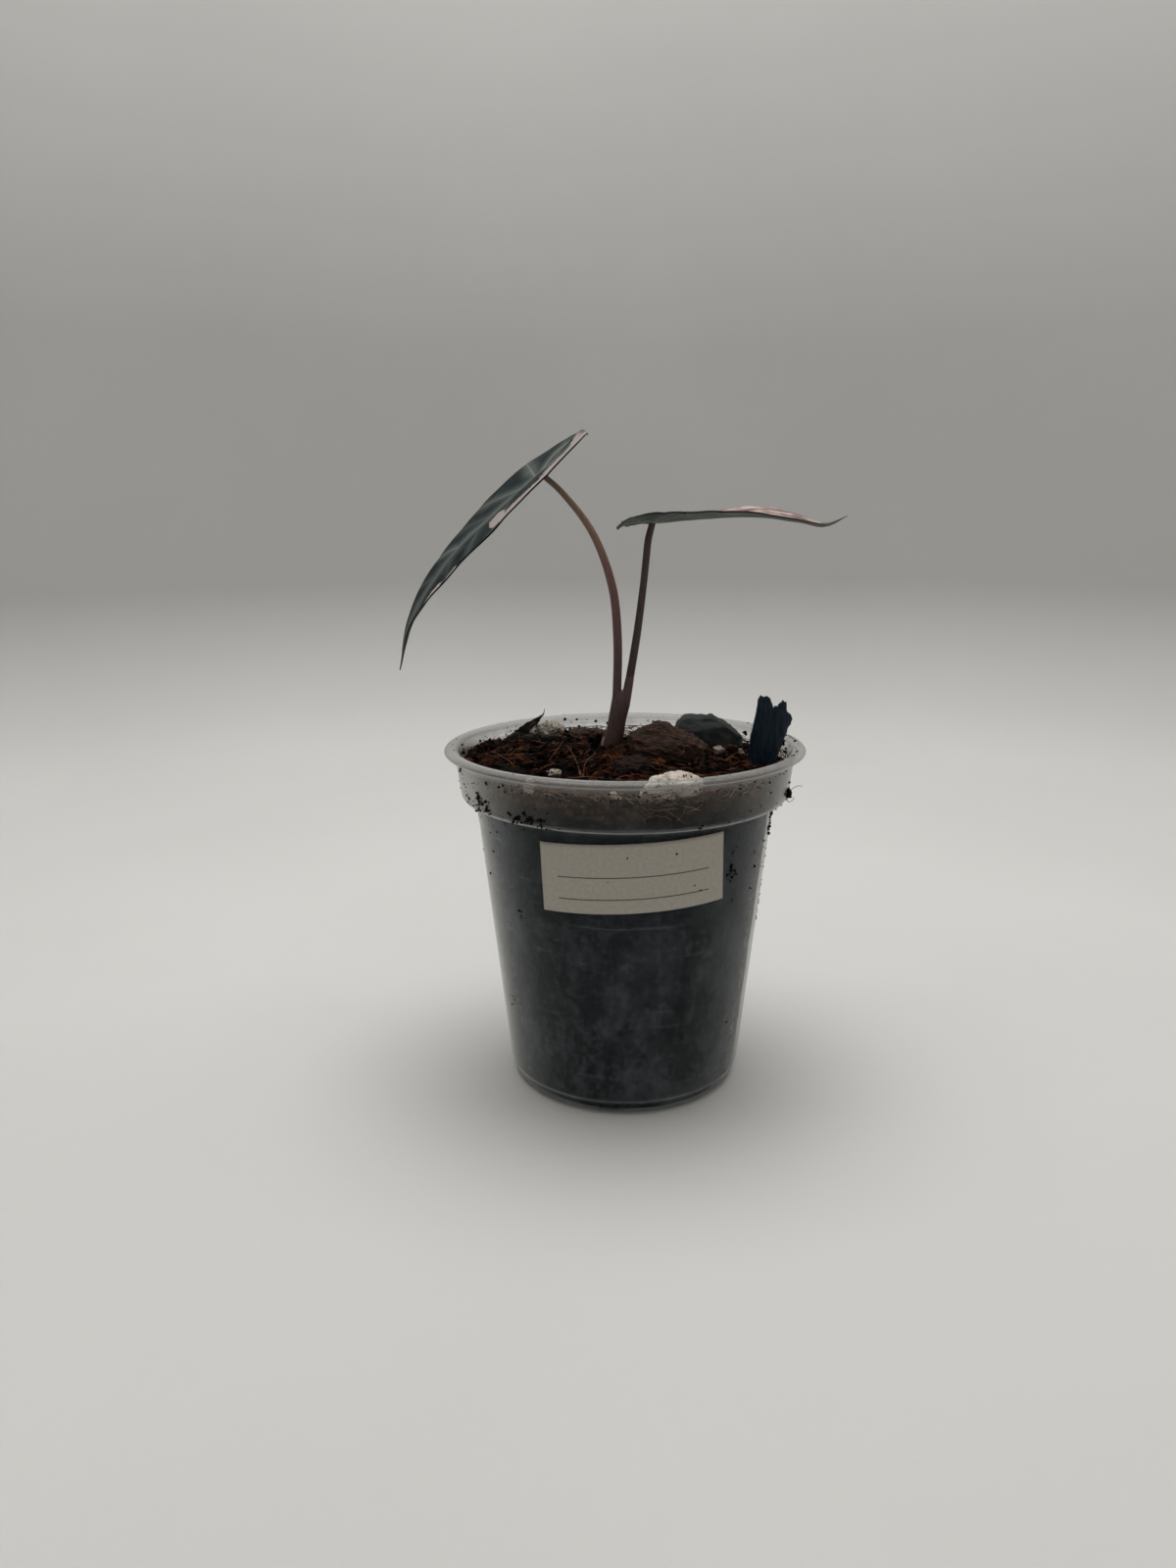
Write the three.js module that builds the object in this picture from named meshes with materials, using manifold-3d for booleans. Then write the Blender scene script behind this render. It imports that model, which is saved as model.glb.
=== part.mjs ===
// Potted bambino alocasia: a young arrow-leaved aroid in a clear 9 cm nursery pot,
// growing in coir with bark, charcoal, pumice and perlite.
// Millimetres, +Z up. The origin is on the pot's axis, at the underside of its base.
// The plant is seen from the front, which is -Y, with its leaves spread along X.
import * as THREE from "three";
import { mergeVertices } from "three/addons/utils/BufferGeometryUtils.js";
import Module from "manifold-3d";

const wasm = await Module();
wasm.setup();

// Driving dimensions of the pot.
const RIM_RADIUS = 45;
const POT_HEIGHT = 87;
const WALL = 0.7;
const PAD_RADIUS = 7;
const CHANNEL_HEIGHT = 1.6;
const CHANNEL_RADIUS = 22.4;
const FOOT_RADIUS = 27.8;
const HEEL_RADIUS = 29.9;
const HEEL_HEIGHT = 3.9;
const BODY_TOP_RADIUS = 37.4;
const BODY_TOP_HEIGHT = 73.2;
const COLLAR_FOOT_RADIUS = 41;
const COLLAR_FOOT_HEIGHT = 75;
const COLLAR_TOP_RADIUS = 42.2;
const COLLAR_TOP_HEIGHT = 84;
const DRAIN_HOLES = 8;
const DRAIN_RADIUS = 2.2;
const DRAIN_CIRCLE = 15.3;
const DRILL_LENGTH = 10;
const DRILL_SIDES = 10;
const POT_SEGMENTS = 48;

// Driving dimensions of the paper label on the pot's front.
const LABEL_WIDTH = 44.4;
const LABEL_HEIGHT = 17;
const LABEL_THICKNESS = 0.3;
const LABEL_GAP = 0.2;
const LABEL_MIDDLE = { angle: 0.066, height: 62.8 };
const LABEL_TURN = 0.043;
const LABEL_CELLS = [16, 2];

// Clearance between pieces that touch on the real plant.
const SEAT = 0.4;

// Driving dimensions of the growing mix.
const MIX_LEVEL = 81.9;
const MIX_HEAP = 2.4;
const MIX_HEAP_SPREAD = 19;
const MIX_ROUGHNESS = 0.55;
const MIX_RIM_GAP = 0.25;
const MIX_RINGS = [1, 0.92, 0.82, 0.7, 0.57, 0.44, 0.31, 0.18, 0];

// Flakes of coir in the mix's surface. A pair holds the least and the most.
const FLAKES = 44;
const FLAKE_REACH = 38.5;
const FLAKE_LENGTH = [3.5, 9];
const FLAKE_WIDTH = [0.7, 1.6];
const FLAKE_DEPTH = [0.45, 0.8];
const FLAKE_BEND = [-1, 1];
const FLAKE_TAPER = 0.35;
const FLAKE_ROLL = [-0.5, 0.5];
const FLAKE_PITCH = [-0.32, 0.32];
const FLAKE_LIFT = [0, 0.5];

// Driving dimensions of the plant. Petioles and midribs run through points set by hand.
// A leaf's lift gives the slope of its far half and its near half, in radians, at places
// along it: -1 is the back lobes' tips, 0 the petiole and 1 the leaf's tip.
const BLADE_THICKNESS = 0.7;
const MIDRIB_DEPTH = 0.6;
const MIDRIB_REACH = 0.9;
const MIDRIB_FADE = 0.7;
const LEFT_LEAF = {
  back: 14,
  halfWidth: 11.5,
  turn: 1,
  midrib: [
    [-9.9, 6, 161.8],
    [-17.1, 4.7, 155.4],
    [-25.3, 3.2, 148.5],
    [-33, 2, 141.7],
    [-40.6, 0.8, 134.7],
    [-48.7, -0.8, 123.9],
    [-53.1, -2.4, 115.4],
    [-55.1, -4, 105.7],
  ],
  lift: [
    [-1, 0.27, -0.15],
    [-0.2, 0.38, -0.18],
    [0.15, 0.43, -0.25],
    [0.3, 0.4, -0.355],
    [0.4, 0.36, -0.42],
    [0.5, 0.4, -0.46],
    [0.6, 0.48, -0.49],
    [0.7, 0.5, -0.39],
    [1, 0.42, -0.23],
  ],
};
const RIGHT_LEAF = {
  back: 9.4,
  halfWidth: 9.3,
  turn: -1,
  midrib: [
    [-0.9, 4, 139.7],
    [6.5, 6, 140.9],
    [18.8, 7.6, 142],
    [32.5, 9.2, 142.4],
    [43.2, 10.8, 141.1],
    [50.4, 12.4, 139.9],
    [56, 14, 142],
  ],
  lift: [
    [-1, 0, 0.29],
    [-0.6, 0.16, 0.25],
    [-0.2, 0.15, 0.22],
    [0.15, 0.12, 0.15],
    [0.3, 0.135, 0.114],
    [0.4, 0.2, 0.09],
    [0.5, 0.36, 0.05],
    [0.65, 0.46, -0.02],
    [1, 0.34, 0],
  ],
};
const LEFT_PETIOLE = {
  path: [
    [-3.2, 5, 82.2],
    [-2.7, 5, 89],
    [-2.1, 5, 94.7],
    [-1.8, 5, 100.3],
    [-1.7, 4.8, 112.9],
    [-3, 4.6, 125.3],
    [-7.9, 4.3, 138.5],
    [-15.4, 4.1, 148.2],
  ],
  radii: [1.3, 1.25, 1.2, 1.15, 1.15, 1.1, 0.95, 0.8, 0.75],
};
const RIGHT_PETIOLE = {
  path: [
    [0.2, 5.1, 95.4],
    [1.3, 5.2, 101.8],
    [3.1, 5.4, 112.8],
    [4.7, 5.7, 125.2],
    [5.6, 5.8, 132],
    [6.5, 5.9, 136.6],
  ],
  radii: [0.8, 1.05, 1, 0.9, 0.9, 0.9, 0.8],
};
const SHEATH = {
  path: [
    [-3.2, 5, 82.2],
    [-2.9, 5, 85.2],
    [-2.2, 5, 89.3],
    [-1.5, 5, 93.4],
    [-0.9, 5, 97],
    [-0.6, 5, 99.6],
  ],
  radii: [2.9, 2.6, 2.3, 2.3, 2.35, 2.1],
};

// A repeatable random source, so that each build is the same.
function seeded(seed) {
  let state = seed >>> 0;
  return () => {
    state = (state + 0x6d2b79f5) >>> 0;
    let t = Math.imul(state ^ (state >>> 15), 1 | state);
    t = (t + Math.imul(t ^ (t >>> 7), 61 | t)) ^ t;
    return ((t ^ (t >>> 14)) >>> 0) / 4294967296;
  };
}

function between(random, low, high) {
  return low + (high - low) * random();
}

// A smooth bumpy value between about -1 and 1 that depends only on the place.
function bumps(x, y, z, seed) {
  const a = Math.sin(1.7 * x + 2.3 * y + 0.9 * z + seed);
  const b = Math.sin(2.9 * y - 1.9 * z + 1.3 * x + 2.1 * seed);
  const c = Math.sin(3.1 * z + 2.2 * x - 1.4 * y + 3.7 * seed);
  return (a + b + c + a * b) / 3;
}

// Indexed triangles as a geometry, with doubled points merged and flat triangles dropped.
function meshOf(points, triangles) {
  const raw = new THREE.BufferGeometry().setFromPoints(points);
  raw.setIndex(triangles.flat());
  const merged = mergeVertices(raw, 1e-4);
  const index = merged.index.array;
  const kept = [];
  for (let i = 0; i < index.length; i += 3) {
    const [a, b, c] = index.slice(i, i + 3);
    if (a !== b && b !== c && c !== a) kept.push(a, b, c);
  }
  merged.setIndex(kept);
  return merged;
}

function solidOf(geometry) {
  const bare = geometry.clone();
  bare.deleteAttribute("normal");
  bare.deleteAttribute("uv");
  const merged = mergeVertices(bare, 1e-4);
  return new wasm.Manifold(
    new wasm.Mesh({
      numProp: 3,
      vertProperties: merged.attributes.position.array,
      triVerts: new Uint32Array(merged.index.array),
    }),
  );
}

// The largest body of a solid as a geometry: scraps left by a cut are dropped.
function geometryOf(solid) {
  const bodies = solid.decompose();
  const largest = bodies.reduce((a, b) => (b.volume() > a.volume() ? b : a));
  const mesh = largest.getMesh();
  const made = new THREE.BufferGeometry();
  made.setAttribute("position", new THREE.BufferAttribute(mesh.vertProperties, mesh.numProp));
  made.setIndex(new THREE.BufferAttribute(mesh.triVerts, 1));
  return made;
}

// Spins a profile of [radius, height] points about the Z axis.
function spun(profile, segments) {
  const outline = profile.map(([r, z]) => new THREE.Vector2(r, z));
  return new THREE.LatheGeometry(outline, segments).rotateX(Math.PI / 2);
}

// A closed skin over rings of equal length, with a flat cap on each end.
function loft(rings) {
  const n = rings[0].length;
  const points = rings.flat();
  const triangles = [];
  for (let i = 0; i + 1 < rings.length; i++) {
    for (let j = 0; j < n; j++) {
      const a = i * n + j;
      const b = i * n + ((j + 1) % n);
      triangles.push([a, b, b + n], [a, b + n, a + n]);
    }
  }
  [0, rings.length - 1].forEach((end) => {
    const middle = rings[end].reduce((s, p) => s.add(p), new THREE.Vector3()).divideScalar(n);
    const m = points.push(middle) - 1;
    for (let j = 0; j < n; j++) {
      const a = end * n + j;
      const b = end * n + ((j + 1) % n);
      triangles.push(end ? [a, b, m] : [b, a, m]);
    }
  });
  return meshOf(points, triangles);
}

// A round stalk through points, with its radius given at each point, widened by grow.
function stalk({ path, radii }, { sides = 8, steps = 22, grow = 0, flatten = 1 } = {}) {
  const curve = new THREE.CatmullRomCurve3(path.map((p) => new THREE.Vector3(...p)));
  const rings = [];
  for (let i = 0; i <= steps; i++) {
    const t = i / steps;
    const middle = curve.getPoint(t);
    const along = curve.getTangent(t);
    if (i === 0) middle.addScaledVector(along, -grow);
    if (i === steps) middle.addScaledVector(along, grow);
    const depth = new THREE.Vector3(0, 1, 0).addScaledVector(along, -along.y).normalize();
    const across = new THREE.Vector3().crossVectors(depth, along);
    const place = t * (radii.length - 1);
    const low = Math.min(Math.floor(place), radii.length - 2);
    const radius = THREE.MathUtils.lerp(radii[low], radii[low + 1], place - low);
    rings.push(
      Array.from({ length: sides }, (_, j) => {
        const a = (2 * Math.PI * j) / sides;
        return middle
          .clone()
          .addScaledVector(across, Math.cos(a) * (radius + grow))
          .addScaledVector(depth, Math.sin(a) * (radius * flatten + grow));
      }),
    );
  }
  return loft(rings);
}

// A lump whose corners run from round (power 2) to blocky (power 4), turned by [x, y, z] angles.
// Each cut is a split face: [x, y, z] square to it and its distance from the lump's middle.
function lump({ at, half, power, rough, seed, turn, cuts = [], detail = 2 }, grow = 0) {
  const geometry = new THREE.IcosahedronGeometry(1, detail);
  const place = geometry.attributes.position;
  const turned = new THREE.Euler(...turn);
  const middle = new THREE.Vector3(...at);
  for (let i = 0; i < place.count; i++) {
    const d = new THREE.Vector3().fromBufferAttribute(place, i).normalize();
    const sum = Math.abs(d.x) ** power + Math.abs(d.y) ** power + Math.abs(d.z) ** power;
    const reach = sum ** (-1 / power) * (1 + rough * bumps(2 * d.x, 2 * d.y, 2 * d.z, seed));
    const p = new THREE.Vector3(d.x * half[0], d.y * half[1], d.z * half[2]).multiplyScalar(reach);
    p.setLength(p.length() + grow).applyEuler(turned);
    cuts.forEach(([x, y, z, distance]) => {
      const square = new THREE.Vector3(x, y, z).normalize();
      p.addScaledVector(square, Math.min(distance + grow - p.dot(square), 0));
    });
    p.add(middle);
    place.setXYZ(i, p.x, p.y, p.z);
  }
  geometry.deleteAttribute("normal");
  geometry.deleteAttribute("uv");
  return mergeVertices(geometry, 1e-4);
}

// Pot: the outer side of the wall, from the middle of the base up to the collar's top.
const POT_OUTSIDE = [
  [0, 0],
  [PAD_RADIUS, 0],
  [PAD_RADIUS + 1.2, CHANNEL_HEIGHT],
  [CHANNEL_RADIUS, CHANNEL_HEIGHT],
  [CHANNEL_RADIUS + 1.2, 0],
  [FOOT_RADIUS, 0],
  [FOOT_RADIUS + 0.9, 0.8],
  [FOOT_RADIUS + 1.3, 2.9],
  [HEEL_RADIUS, HEEL_HEIGHT],
  [BODY_TOP_RADIUS, BODY_TOP_HEIGHT],
  [BODY_TOP_RADIUS + 0.5, BODY_TOP_HEIGHT + 0.7],
  [COLLAR_FOOT_RADIUS - 0.7, COLLAR_FOOT_HEIGHT - 0.7],
  [COLLAR_FOOT_RADIUS, COLLAR_FOOT_HEIGHT],
  [COLLAR_TOP_RADIUS, COLLAR_TOP_HEIGHT],
];

// The lip, from under its outer edge over its top to the inside.
const POT_LIP = [
  [COLLAR_TOP_RADIUS + 0.5, COLLAR_TOP_HEIGHT + 0.9],
  [RIM_RADIUS - 0.6, POT_HEIGHT - 1.9],
  [RIM_RADIUS, POT_HEIGHT - 1.5],
  [RIM_RADIUS - 0.1, POT_HEIGHT - 0.8],
  [RIM_RADIUS - 1.3, POT_HEIGHT],
  [RIM_RADIUS - 2.7, POT_HEIGHT - 0.1],
  [COLLAR_TOP_RADIUS - WALL, POT_HEIGHT - 0.9],
];

// A profile moved square to itself, to the left of its own direction.
function beside(profile, distance) {
  return profile.map(([r, z], i) => {
    const before = profile[Math.max(i - 1, 0)];
    const after = profile[Math.min(i + 1, profile.length - 1)];
    const first = new THREE.Vector2(r - before[0], z - before[1]).normalize();
    const second = new THREE.Vector2(after[0] - r, after[1] - z).normalize();
    const along = first.clone().add(second).normalize();
    const facing = i === 0 || i === profile.length - 1 ? 1 : along.dot(second);
    const moved = [r - (along.y * distance) / facing, z + (along.x * distance) / facing];
    return i === 0 ? [0, moved[1]] : moved;
  });
}

const POT_INSIDE = beside(POT_OUTSIDE, WALL);

function potGeometry() {
  const shell = spun([...POT_OUTSIDE, ...POT_LIP, ...POT_INSIDE.slice().reverse()], POT_SEGMENTS);
  let pot = solidOf(shell);
  for (let i = 0; i < DRAIN_HOLES; i++) {
    const a = (2 * Math.PI * (i + 0.5)) / DRAIN_HOLES;
    const drill = new THREE.CylinderGeometry(DRAIN_RADIUS, DRAIN_RADIUS, DRILL_LENGTH, DRILL_SIDES);
    drill.rotateX(Math.PI / 2).translate(DRAIN_CIRCLE * Math.cos(a), DRAIN_CIRCLE * Math.sin(a), 0);
    pot = pot.subtract(solidOf(drill));
  }
  return geometryOf(pot);
}

// The radius of the pot's outside at a height on its body.
function bodyRadius(height) {
  const share = (height - HEEL_HEIGHT) / (BODY_TOP_HEIGHT - HEEL_HEIGHT);
  return THREE.MathUtils.lerp(HEEL_RADIUS, BODY_TOP_RADIUS, share);
}

// The label is a rectangle of paper that follows the body's cone, a little askew.
function labelGeometry() {
  const [across, up] = LABEL_CELLS;
  const layer = (out) => {
    const points = [];
    for (let j = 0; j <= up; j++) {
      for (let i = 0; i <= across; i++) {
        const flat = new THREE.Vector2((i / across - 0.5) * LABEL_WIDTH, (j / up - 0.5) * LABEL_HEIGHT);
        flat.rotateAround(new THREE.Vector2(), LABEL_TURN);
        const height = LABEL_MIDDLE.height + flat.y;
        const radius = bodyRadius(height) + LABEL_GAP + out;
        const angle = LABEL_MIDDLE.angle + flat.x / radius;
        points.push(new THREE.Vector3(radius * Math.sin(angle), -radius * Math.cos(angle), height));
      }
    }
    return points;
  };
  return thickSheet(layer(0), layer(LABEL_THICKNESS), gridTriangles(across, up));
}

// Two triangles for each cell of a grid of points, counter-clockwise.
function gridTriangles(across, up) {
  const triangles = [];
  for (let j = 0; j < up; j++) {
    for (let i = 0; i < across; i++) {
      const a = j * (across + 1) + i;
      const c = a + across + 1;
      triangles.push([a, a + 1, c + 1], [a, c + 1, c]);
    }
  }
  return triangles;
}

// A closed sheet between a lower and an upper layer that share their triangles.
function thickSheet(lower, upper, triangles) {
  const n = lower.length;
  const used = new Map();
  triangles.forEach(([a, b, c]) => {
    [[a, b], [b, c], [c, a]].forEach(([p, q]) => used.set(p + ":" + q, [p, q]));
  });
  const walls = [];
  used.forEach(([p, q]) => {
    if (!used.has(q + ":" + p)) walls.push([p, q + n, p + n], [p, q, q + n]);
  });
  const bottom = triangles.map(([a, b, c]) => [a, c, b]);
  const top = triangles.map(([a, b, c]) => [a + n, b + n, c + n]);
  return meshOf([...lower, ...upper], [...bottom, ...top, ...walls]);
}

// Leaf outline as [place, share of the half width]: place -1 is the tip of a back lobe,
// 0 is where the petiole joins, and 1 is the leaf's tip.
const OUTER_EDGE = [
  [-1, 0.5],
  [-0.86, 0.69],
  [-0.55, 0.88],
  [-0.2, 0.98],
  [0.08, 1],
  [0.22, 0.96],
  [0.36, 0.84],
  [0.5, 0.66],
  [0.64, 0.47],
  [0.76, 0.31],
  [0.86, 0.14],
  [0.93, 0.06],
  [1, 0.02],
];
const SINUS_EDGE = [
  [-1, 0.5],
  [-0.93, 0.3],
  [-0.82, 0.17],
  [-0.62, 0.08],
  [-0.42, 0.02],
  [-0.34, 0],
  [1, 0],
];
const BACK_PLACES = [-1, -0.93, -0.82, -0.62, -0.34, -0.16];
const FRONT_ROWS = 24;
const COLUMNS = [0, 0.12, 0.42, 0.74, 1];
const MARGIN_WAVES = 5;
const MARGIN_WAVE = 0.03;
const MARGIN_LIFT = 0.25;

function readAt(table, place, column = 1) {
  const i = Math.max(1, table.findIndex(([p]) => p >= place - 1e-9));
  const [low, high] = [table[i - 1], table[i]];
  return low[column] + ((high[column] - low[column]) * (place - low[0])) / (high[0] - low[0]);
}

// The midrib's point and direction, the level way to the far side and the upper face's normal.
function bladeFrame(leaf, place) {
  const curve = new THREE.CatmullRomCurve3(leaf.midrib.map((p) => new THREE.Vector3(...p)));
  const total = curve.getLength();
  const run = leaf.back + place * (place < 0 ? leaf.back : total - leaf.back);
  const t = THREE.MathUtils.clamp(run / total, 0, 1);
  const point = curve.getPointAt(t);
  const along = curve.getTangentAt(t);
  const level = new THREE.Vector3(0, 1, 0).addScaledVector(along, -along.y).normalize();
  const normal = new THREE.Vector3().crossVectors(level, along);
  if (normal.z < 0) normal.negate();
  return { point, along, level, normal };
}

// A blade of arrow shape: two halves that slope from the midrib, with a waved margin.
function bladeGeometry(leaf) {
  const places = [...BACK_PLACES];
  for (let i = 0; i <= FRONT_ROWS; i++) places.push(i / FRONT_ROWS);
  const lower = [];
  const upper = [];
  const triangles = [];
  [-1, 1].forEach((side) => {
    const first = lower.length;
    places.forEach((place) => {
      const { point, level, normal } = bladeFrame(leaf, place);
      const slope = readAt(leaf.lift, place, side > 0 ? 1 : 2);
      const wave = place > 0 && place < 0.8 ? Math.sin(2 * Math.PI * MARGIN_WAVES * place) : 0;
      const outer = readAt(OUTER_EDGE, place) * leaf.halfWidth * (1 + MARGIN_WAVE * wave);
      const inner = readAt(SINUS_EDGE, place) * leaf.halfWidth;
      COLUMNS.forEach((share) => {
        const out = inner + (outer - inner) * share;
        const lift = out * Math.sin(slope) + MARGIN_LIFT * wave * share ** 3;
        const fade = 1 - MIDRIB_FADE * Math.max(place, 0);
        const rib = MIDRIB_DEPTH * Math.exp(-((out / MIDRIB_REACH) ** 2)) * fade;
        const p = point.clone().addScaledVector(level, side * out * Math.cos(slope));
        p.addScaledVector(normal, lift);
        lower.push(p.clone().addScaledVector(normal, -BLADE_THICKNESS / 2 - rib));
        upper.push(p.addScaledVector(normal, BLADE_THICKNESS / 2));
      });
    });
    gridTriangles(COLUMNS.length - 1, places.length - 1).forEach((corners) => {
      const [a, b, c] = corners.map((i) => i + first);
      triangles.push(side === leaf.turn ? [a, b, c] : [a, c, b]);
    });
  });
  return sharedSheet(lower, upper, triangles);
}

// Joins points that the two halves have in common before the sheet is closed.
function sharedSheet(lower, upper, triangles) {
  const key = (p) => [p.x, p.y, p.z].map((v) => v.toFixed(3)).join();
  const seen = new Map();
  const same = upper.map((p, i) => {
    const k = key(p);
    if (!seen.has(k)) seen.set(k, i);
    return seen.get(k);
  });
  const joined = triangles
    .map((t) => t.map((i) => same[i]))
    .filter(([a, b, c]) => a !== b && b !== c && c !== a);
  return thickSheet(lower, upper, joined);
}

// Where a petiole ends: just under the blade's midrib.
function petioleEnd(leaf, clearance) {
  const { point, normal } = bladeFrame(leaf, 0);
  const below = BLADE_THICKNESS / 2 + MIDRIB_DEPTH + clearance;
  return point.addScaledVector(normal, -below).toArray();
}

const leftPetiole = { ...LEFT_PETIOLE, path: [...LEFT_PETIOLE.path, petioleEnd(LEFT_LEAF, SEAT)] };
const rightPetiole = { ...RIGHT_PETIOLE, path: [...RIGHT_PETIOLE.path, petioleEnd(RIGHT_LEAF, SEAT)] };

// The older petiole widens at its foot into a sheath, which the younger one grows out of.
function olderPetiole(grow = 0) {
  const stem = solidOf(stalk(leftPetiole, { steps: 24, grow }));
  const sheath = solidOf(stalk(SHEATH, { sides: 10, steps: 6, grow, flatten: 0.8 }));
  return stem.add(sheath);
}

// Corm and roots, all below the mix's surface.
const CORM_AT = [-3.3, 5];
const CORM = [
  [0, 69.6],
  [2.6, 70.4],
  [4.4, 73],
  [4.8, 76],
  [3.9, 79],
  [2.9, 81.6],
  [0, 81.6],
];
const CORM_MIDDLE = 76;
const ROOTS = 5;
const ROOT_LEVEL = 74;
const ROOT_START = 2;
const ROOT_REACH = [13, 21];
const ROOT_DROP = [26, 42];
const ROOT_BEND = [-0.35, 0.35];
const ROOT_RADII = [0.9, 0.8, 0.65, 0.45];

function cormAndRoots(grow = 0) {
  const random = seeded(11);
  const wider = CORM.map(([r, z]) => [r ? r + grow : 0, z + grow * Math.sign(z - CORM_MIDDLE)]);
  let body = solidOf(spun(wider, 12).translate(CORM_AT[0], CORM_AT[1], 0));
  for (let i = 0; i < ROOTS; i++) {
    const a = (2 * Math.PI * (i + between(random, -0.2, 0.2))) / ROOTS;
    const reach = between(random, ...ROOT_REACH);
    const drop = between(random, ...ROOT_DROP);
    const bend = between(random, ...ROOT_BEND);
    const path = [0, 0.3, 0.65, 1].map((t) => {
      const out = ROOT_START + reach * Math.sqrt(t);
      const b = a + bend * t;
      return [CORM_AT[0] + out * Math.cos(b), CORM_AT[1] + out * Math.sin(b), ROOT_LEVEL - drop * t];
    });
    const root = stalk({ path, radii: ROOT_RADII }, { sides: 5, steps: 6, grow });
    body = body.add(solidOf(root));
  }
  return body;
}

// Loose pieces in the top of the mix.
const LUMPS = {
  bark_chip_large: {
    at: [10.9, 0.2, 85.3],
    half: [10.2, 7.4, 6.4],
    power: 3,
    rough: 0.09,
    seed: 3,
    turn: [0.1, 0.1, 0.15],
    cuts: [
      [-0.7, 0.7, 0, 8.2],
      [-0.31, 0, 0.95, 6.5],
      [0.48, 0, 0.88, 5],
      [0, -0.64, 0.77, 5.8],
    ],
    detail: 3,
  },
  bark_chip_front: {
    at: [2, -15.6, 83.3],
    half: [4.8, 4.2, 2.9],
    power: 3,
    rough: 0.1,
    seed: 8,
    turn: [0.1, -0.05, 0.3],
  },
  bark_chip_small: {
    at: [12.6, -21.6, 82.5],
    half: [3.8, 2.8, 2],
    power: 3,
    rough: 0.12,
    seed: 5,
    turn: [0.1, 0.2, -0.5],
  },
  bark_chip_back: {
    at: [-9.5, 24, 83.6],
    half: [5.2, 3.4, 2.5],
    power: 3.2,
    rough: 0.1,
    seed: 7,
    turn: [-0.1, 0.1, -0.3],
  },
  charcoal_lump: {
    at: [22.4, 18.6, 84.9],
    half: [9.2, 5.8, 5.8],
    power: 4,
    rough: 0.05,
    seed: 12,
    turn: [0, 0.05, 0.1],
    cuts: [
      [0.6, 0, 0.8, 5.5],
      [-0.9, 0, 0.44, 8.9],
      [0, -0.75, 0.66, 6.2],
    ],
    detail: 3,
  },
  pumice_front: {
    at: [10.5, -35.4, 83.3],
    half: [7, 3.4, 3.7],
    power: 2.5,
    rough: 0.08,
    seed: 4,
    turn: [0, 0, 0.28],
  },
  pumice_back: {
    at: [-20.6, 28.6, 83.9],
    half: [4.6, 3.2, 3.2],
    power: 2.4,
    rough: 0.1,
    seed: 9,
    turn: [0, 0.1, 0.5],
  },
};

// Perlite grains as [x, y, z, half width, half height].
const PERLITE = [
  [24.4, 5.6, 83.8, 1.5, 1.3],
  [30.2, 8, 83, 0.9, 0.9],
  [-16.6, -19.4, 83.4, 1.8, 0.8],
  [-21.2, -32.4, 83.4, 1.3, 1.5],
  [-2.4, -38.8, 82.6, 1.2, 1],
  [0.8, 29, 83.2, 1.4, 1],
  [8, 31, 83, 1.6, 1.2],
];
const PERLITE_DEPTH = 0.8;

function perlite([x, y, z, wide, high], seed) {
  const half = [wide, wide * PERLITE_DEPTH, high];
  return { at: [x, y, z], half, power: 2.3, rough: 0.14, seed, turn: [0, 0, seed], detail: 1 };
}

// Charcoal stick: a split of wood with a torn top, leaning out of the mix by the rim.
// Its rows are [height, middle, half width] and its torn top is [share of the width, rise].
const STICK_ROWS = [
  [76.6, 33.4, 3.1],
  [80, 33.7, 3.2],
  [83, 34, 3.4],
  [86, 34.6, 3.8],
  [89, 35.2, 4.1],
  [92, 35.9, 4.4],
  [94.4, 36.4, 4.4],
  [97, 36.1, 3.5],
];
const STICK_TOP = [
  [-1, 1.5],
  [-0.6, 2.3],
  [-0.1, 2.2],
  [0.1, -0.5],
  [0.4, -0.4],
  [0.7, 1],
  [1, 0.4],
];
const STICK_HALF_DEPTH = 2;
const STICK_MIDDLE_Y = -4.3;
const STICK_LEAN = 0.069;
const STICK_CORNERS = 12;
const STICK_POWER = 3;

function stickGeometry(grow = 0) {
  const last = STICK_ROWS.length - 1;
  const foot = STICK_ROWS[0][0];
  const rings = STICK_ROWS.map(([height, middle, half], row) =>
    Array.from({ length: STICK_CORNERS }, (_, j) => {
      const a = (2 * Math.PI * j) / STICK_CORNERS;
      const [across, back] = [Math.cos(a), Math.sin(a)];
      const sum = Math.abs(across) ** STICK_POWER + Math.abs(back) ** STICK_POWER;
      const reach = sum ** (-1 / STICK_POWER);
      const torn = row === last ? readAt(STICK_TOP, across) : 0;
      return new THREE.Vector3(
        middle + across * (half * reach + grow),
        STICK_MIDDLE_Y - STICK_LEAN * (height - foot) + back * (STICK_HALF_DEPTH * reach + grow),
        height + torn - (row === 0 ? grow : 0),
      );
    }),
  );
  return loft(rings);
}

// Bark shard: a thin splinter that stands at the back left.
const SHARD_OUTLINE = [
  [-31.9, 80.4],
  [-27.2, 80.4],
  [-26, 83.6],
  [-24, 86.4],
  [-22.1, 89.6],
  [-25.5, 88.2],
  [-29.9, 85],
];
const SHARD_MIDDLE = [-26.8, 84.8];
const SHARD_DEPTH = 25;
const SHARD_THICKNESS = 1.8;
const SHARD_LEAN = 0.12;
const SHARD_CORNER_ROOM = 1.4;

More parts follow.
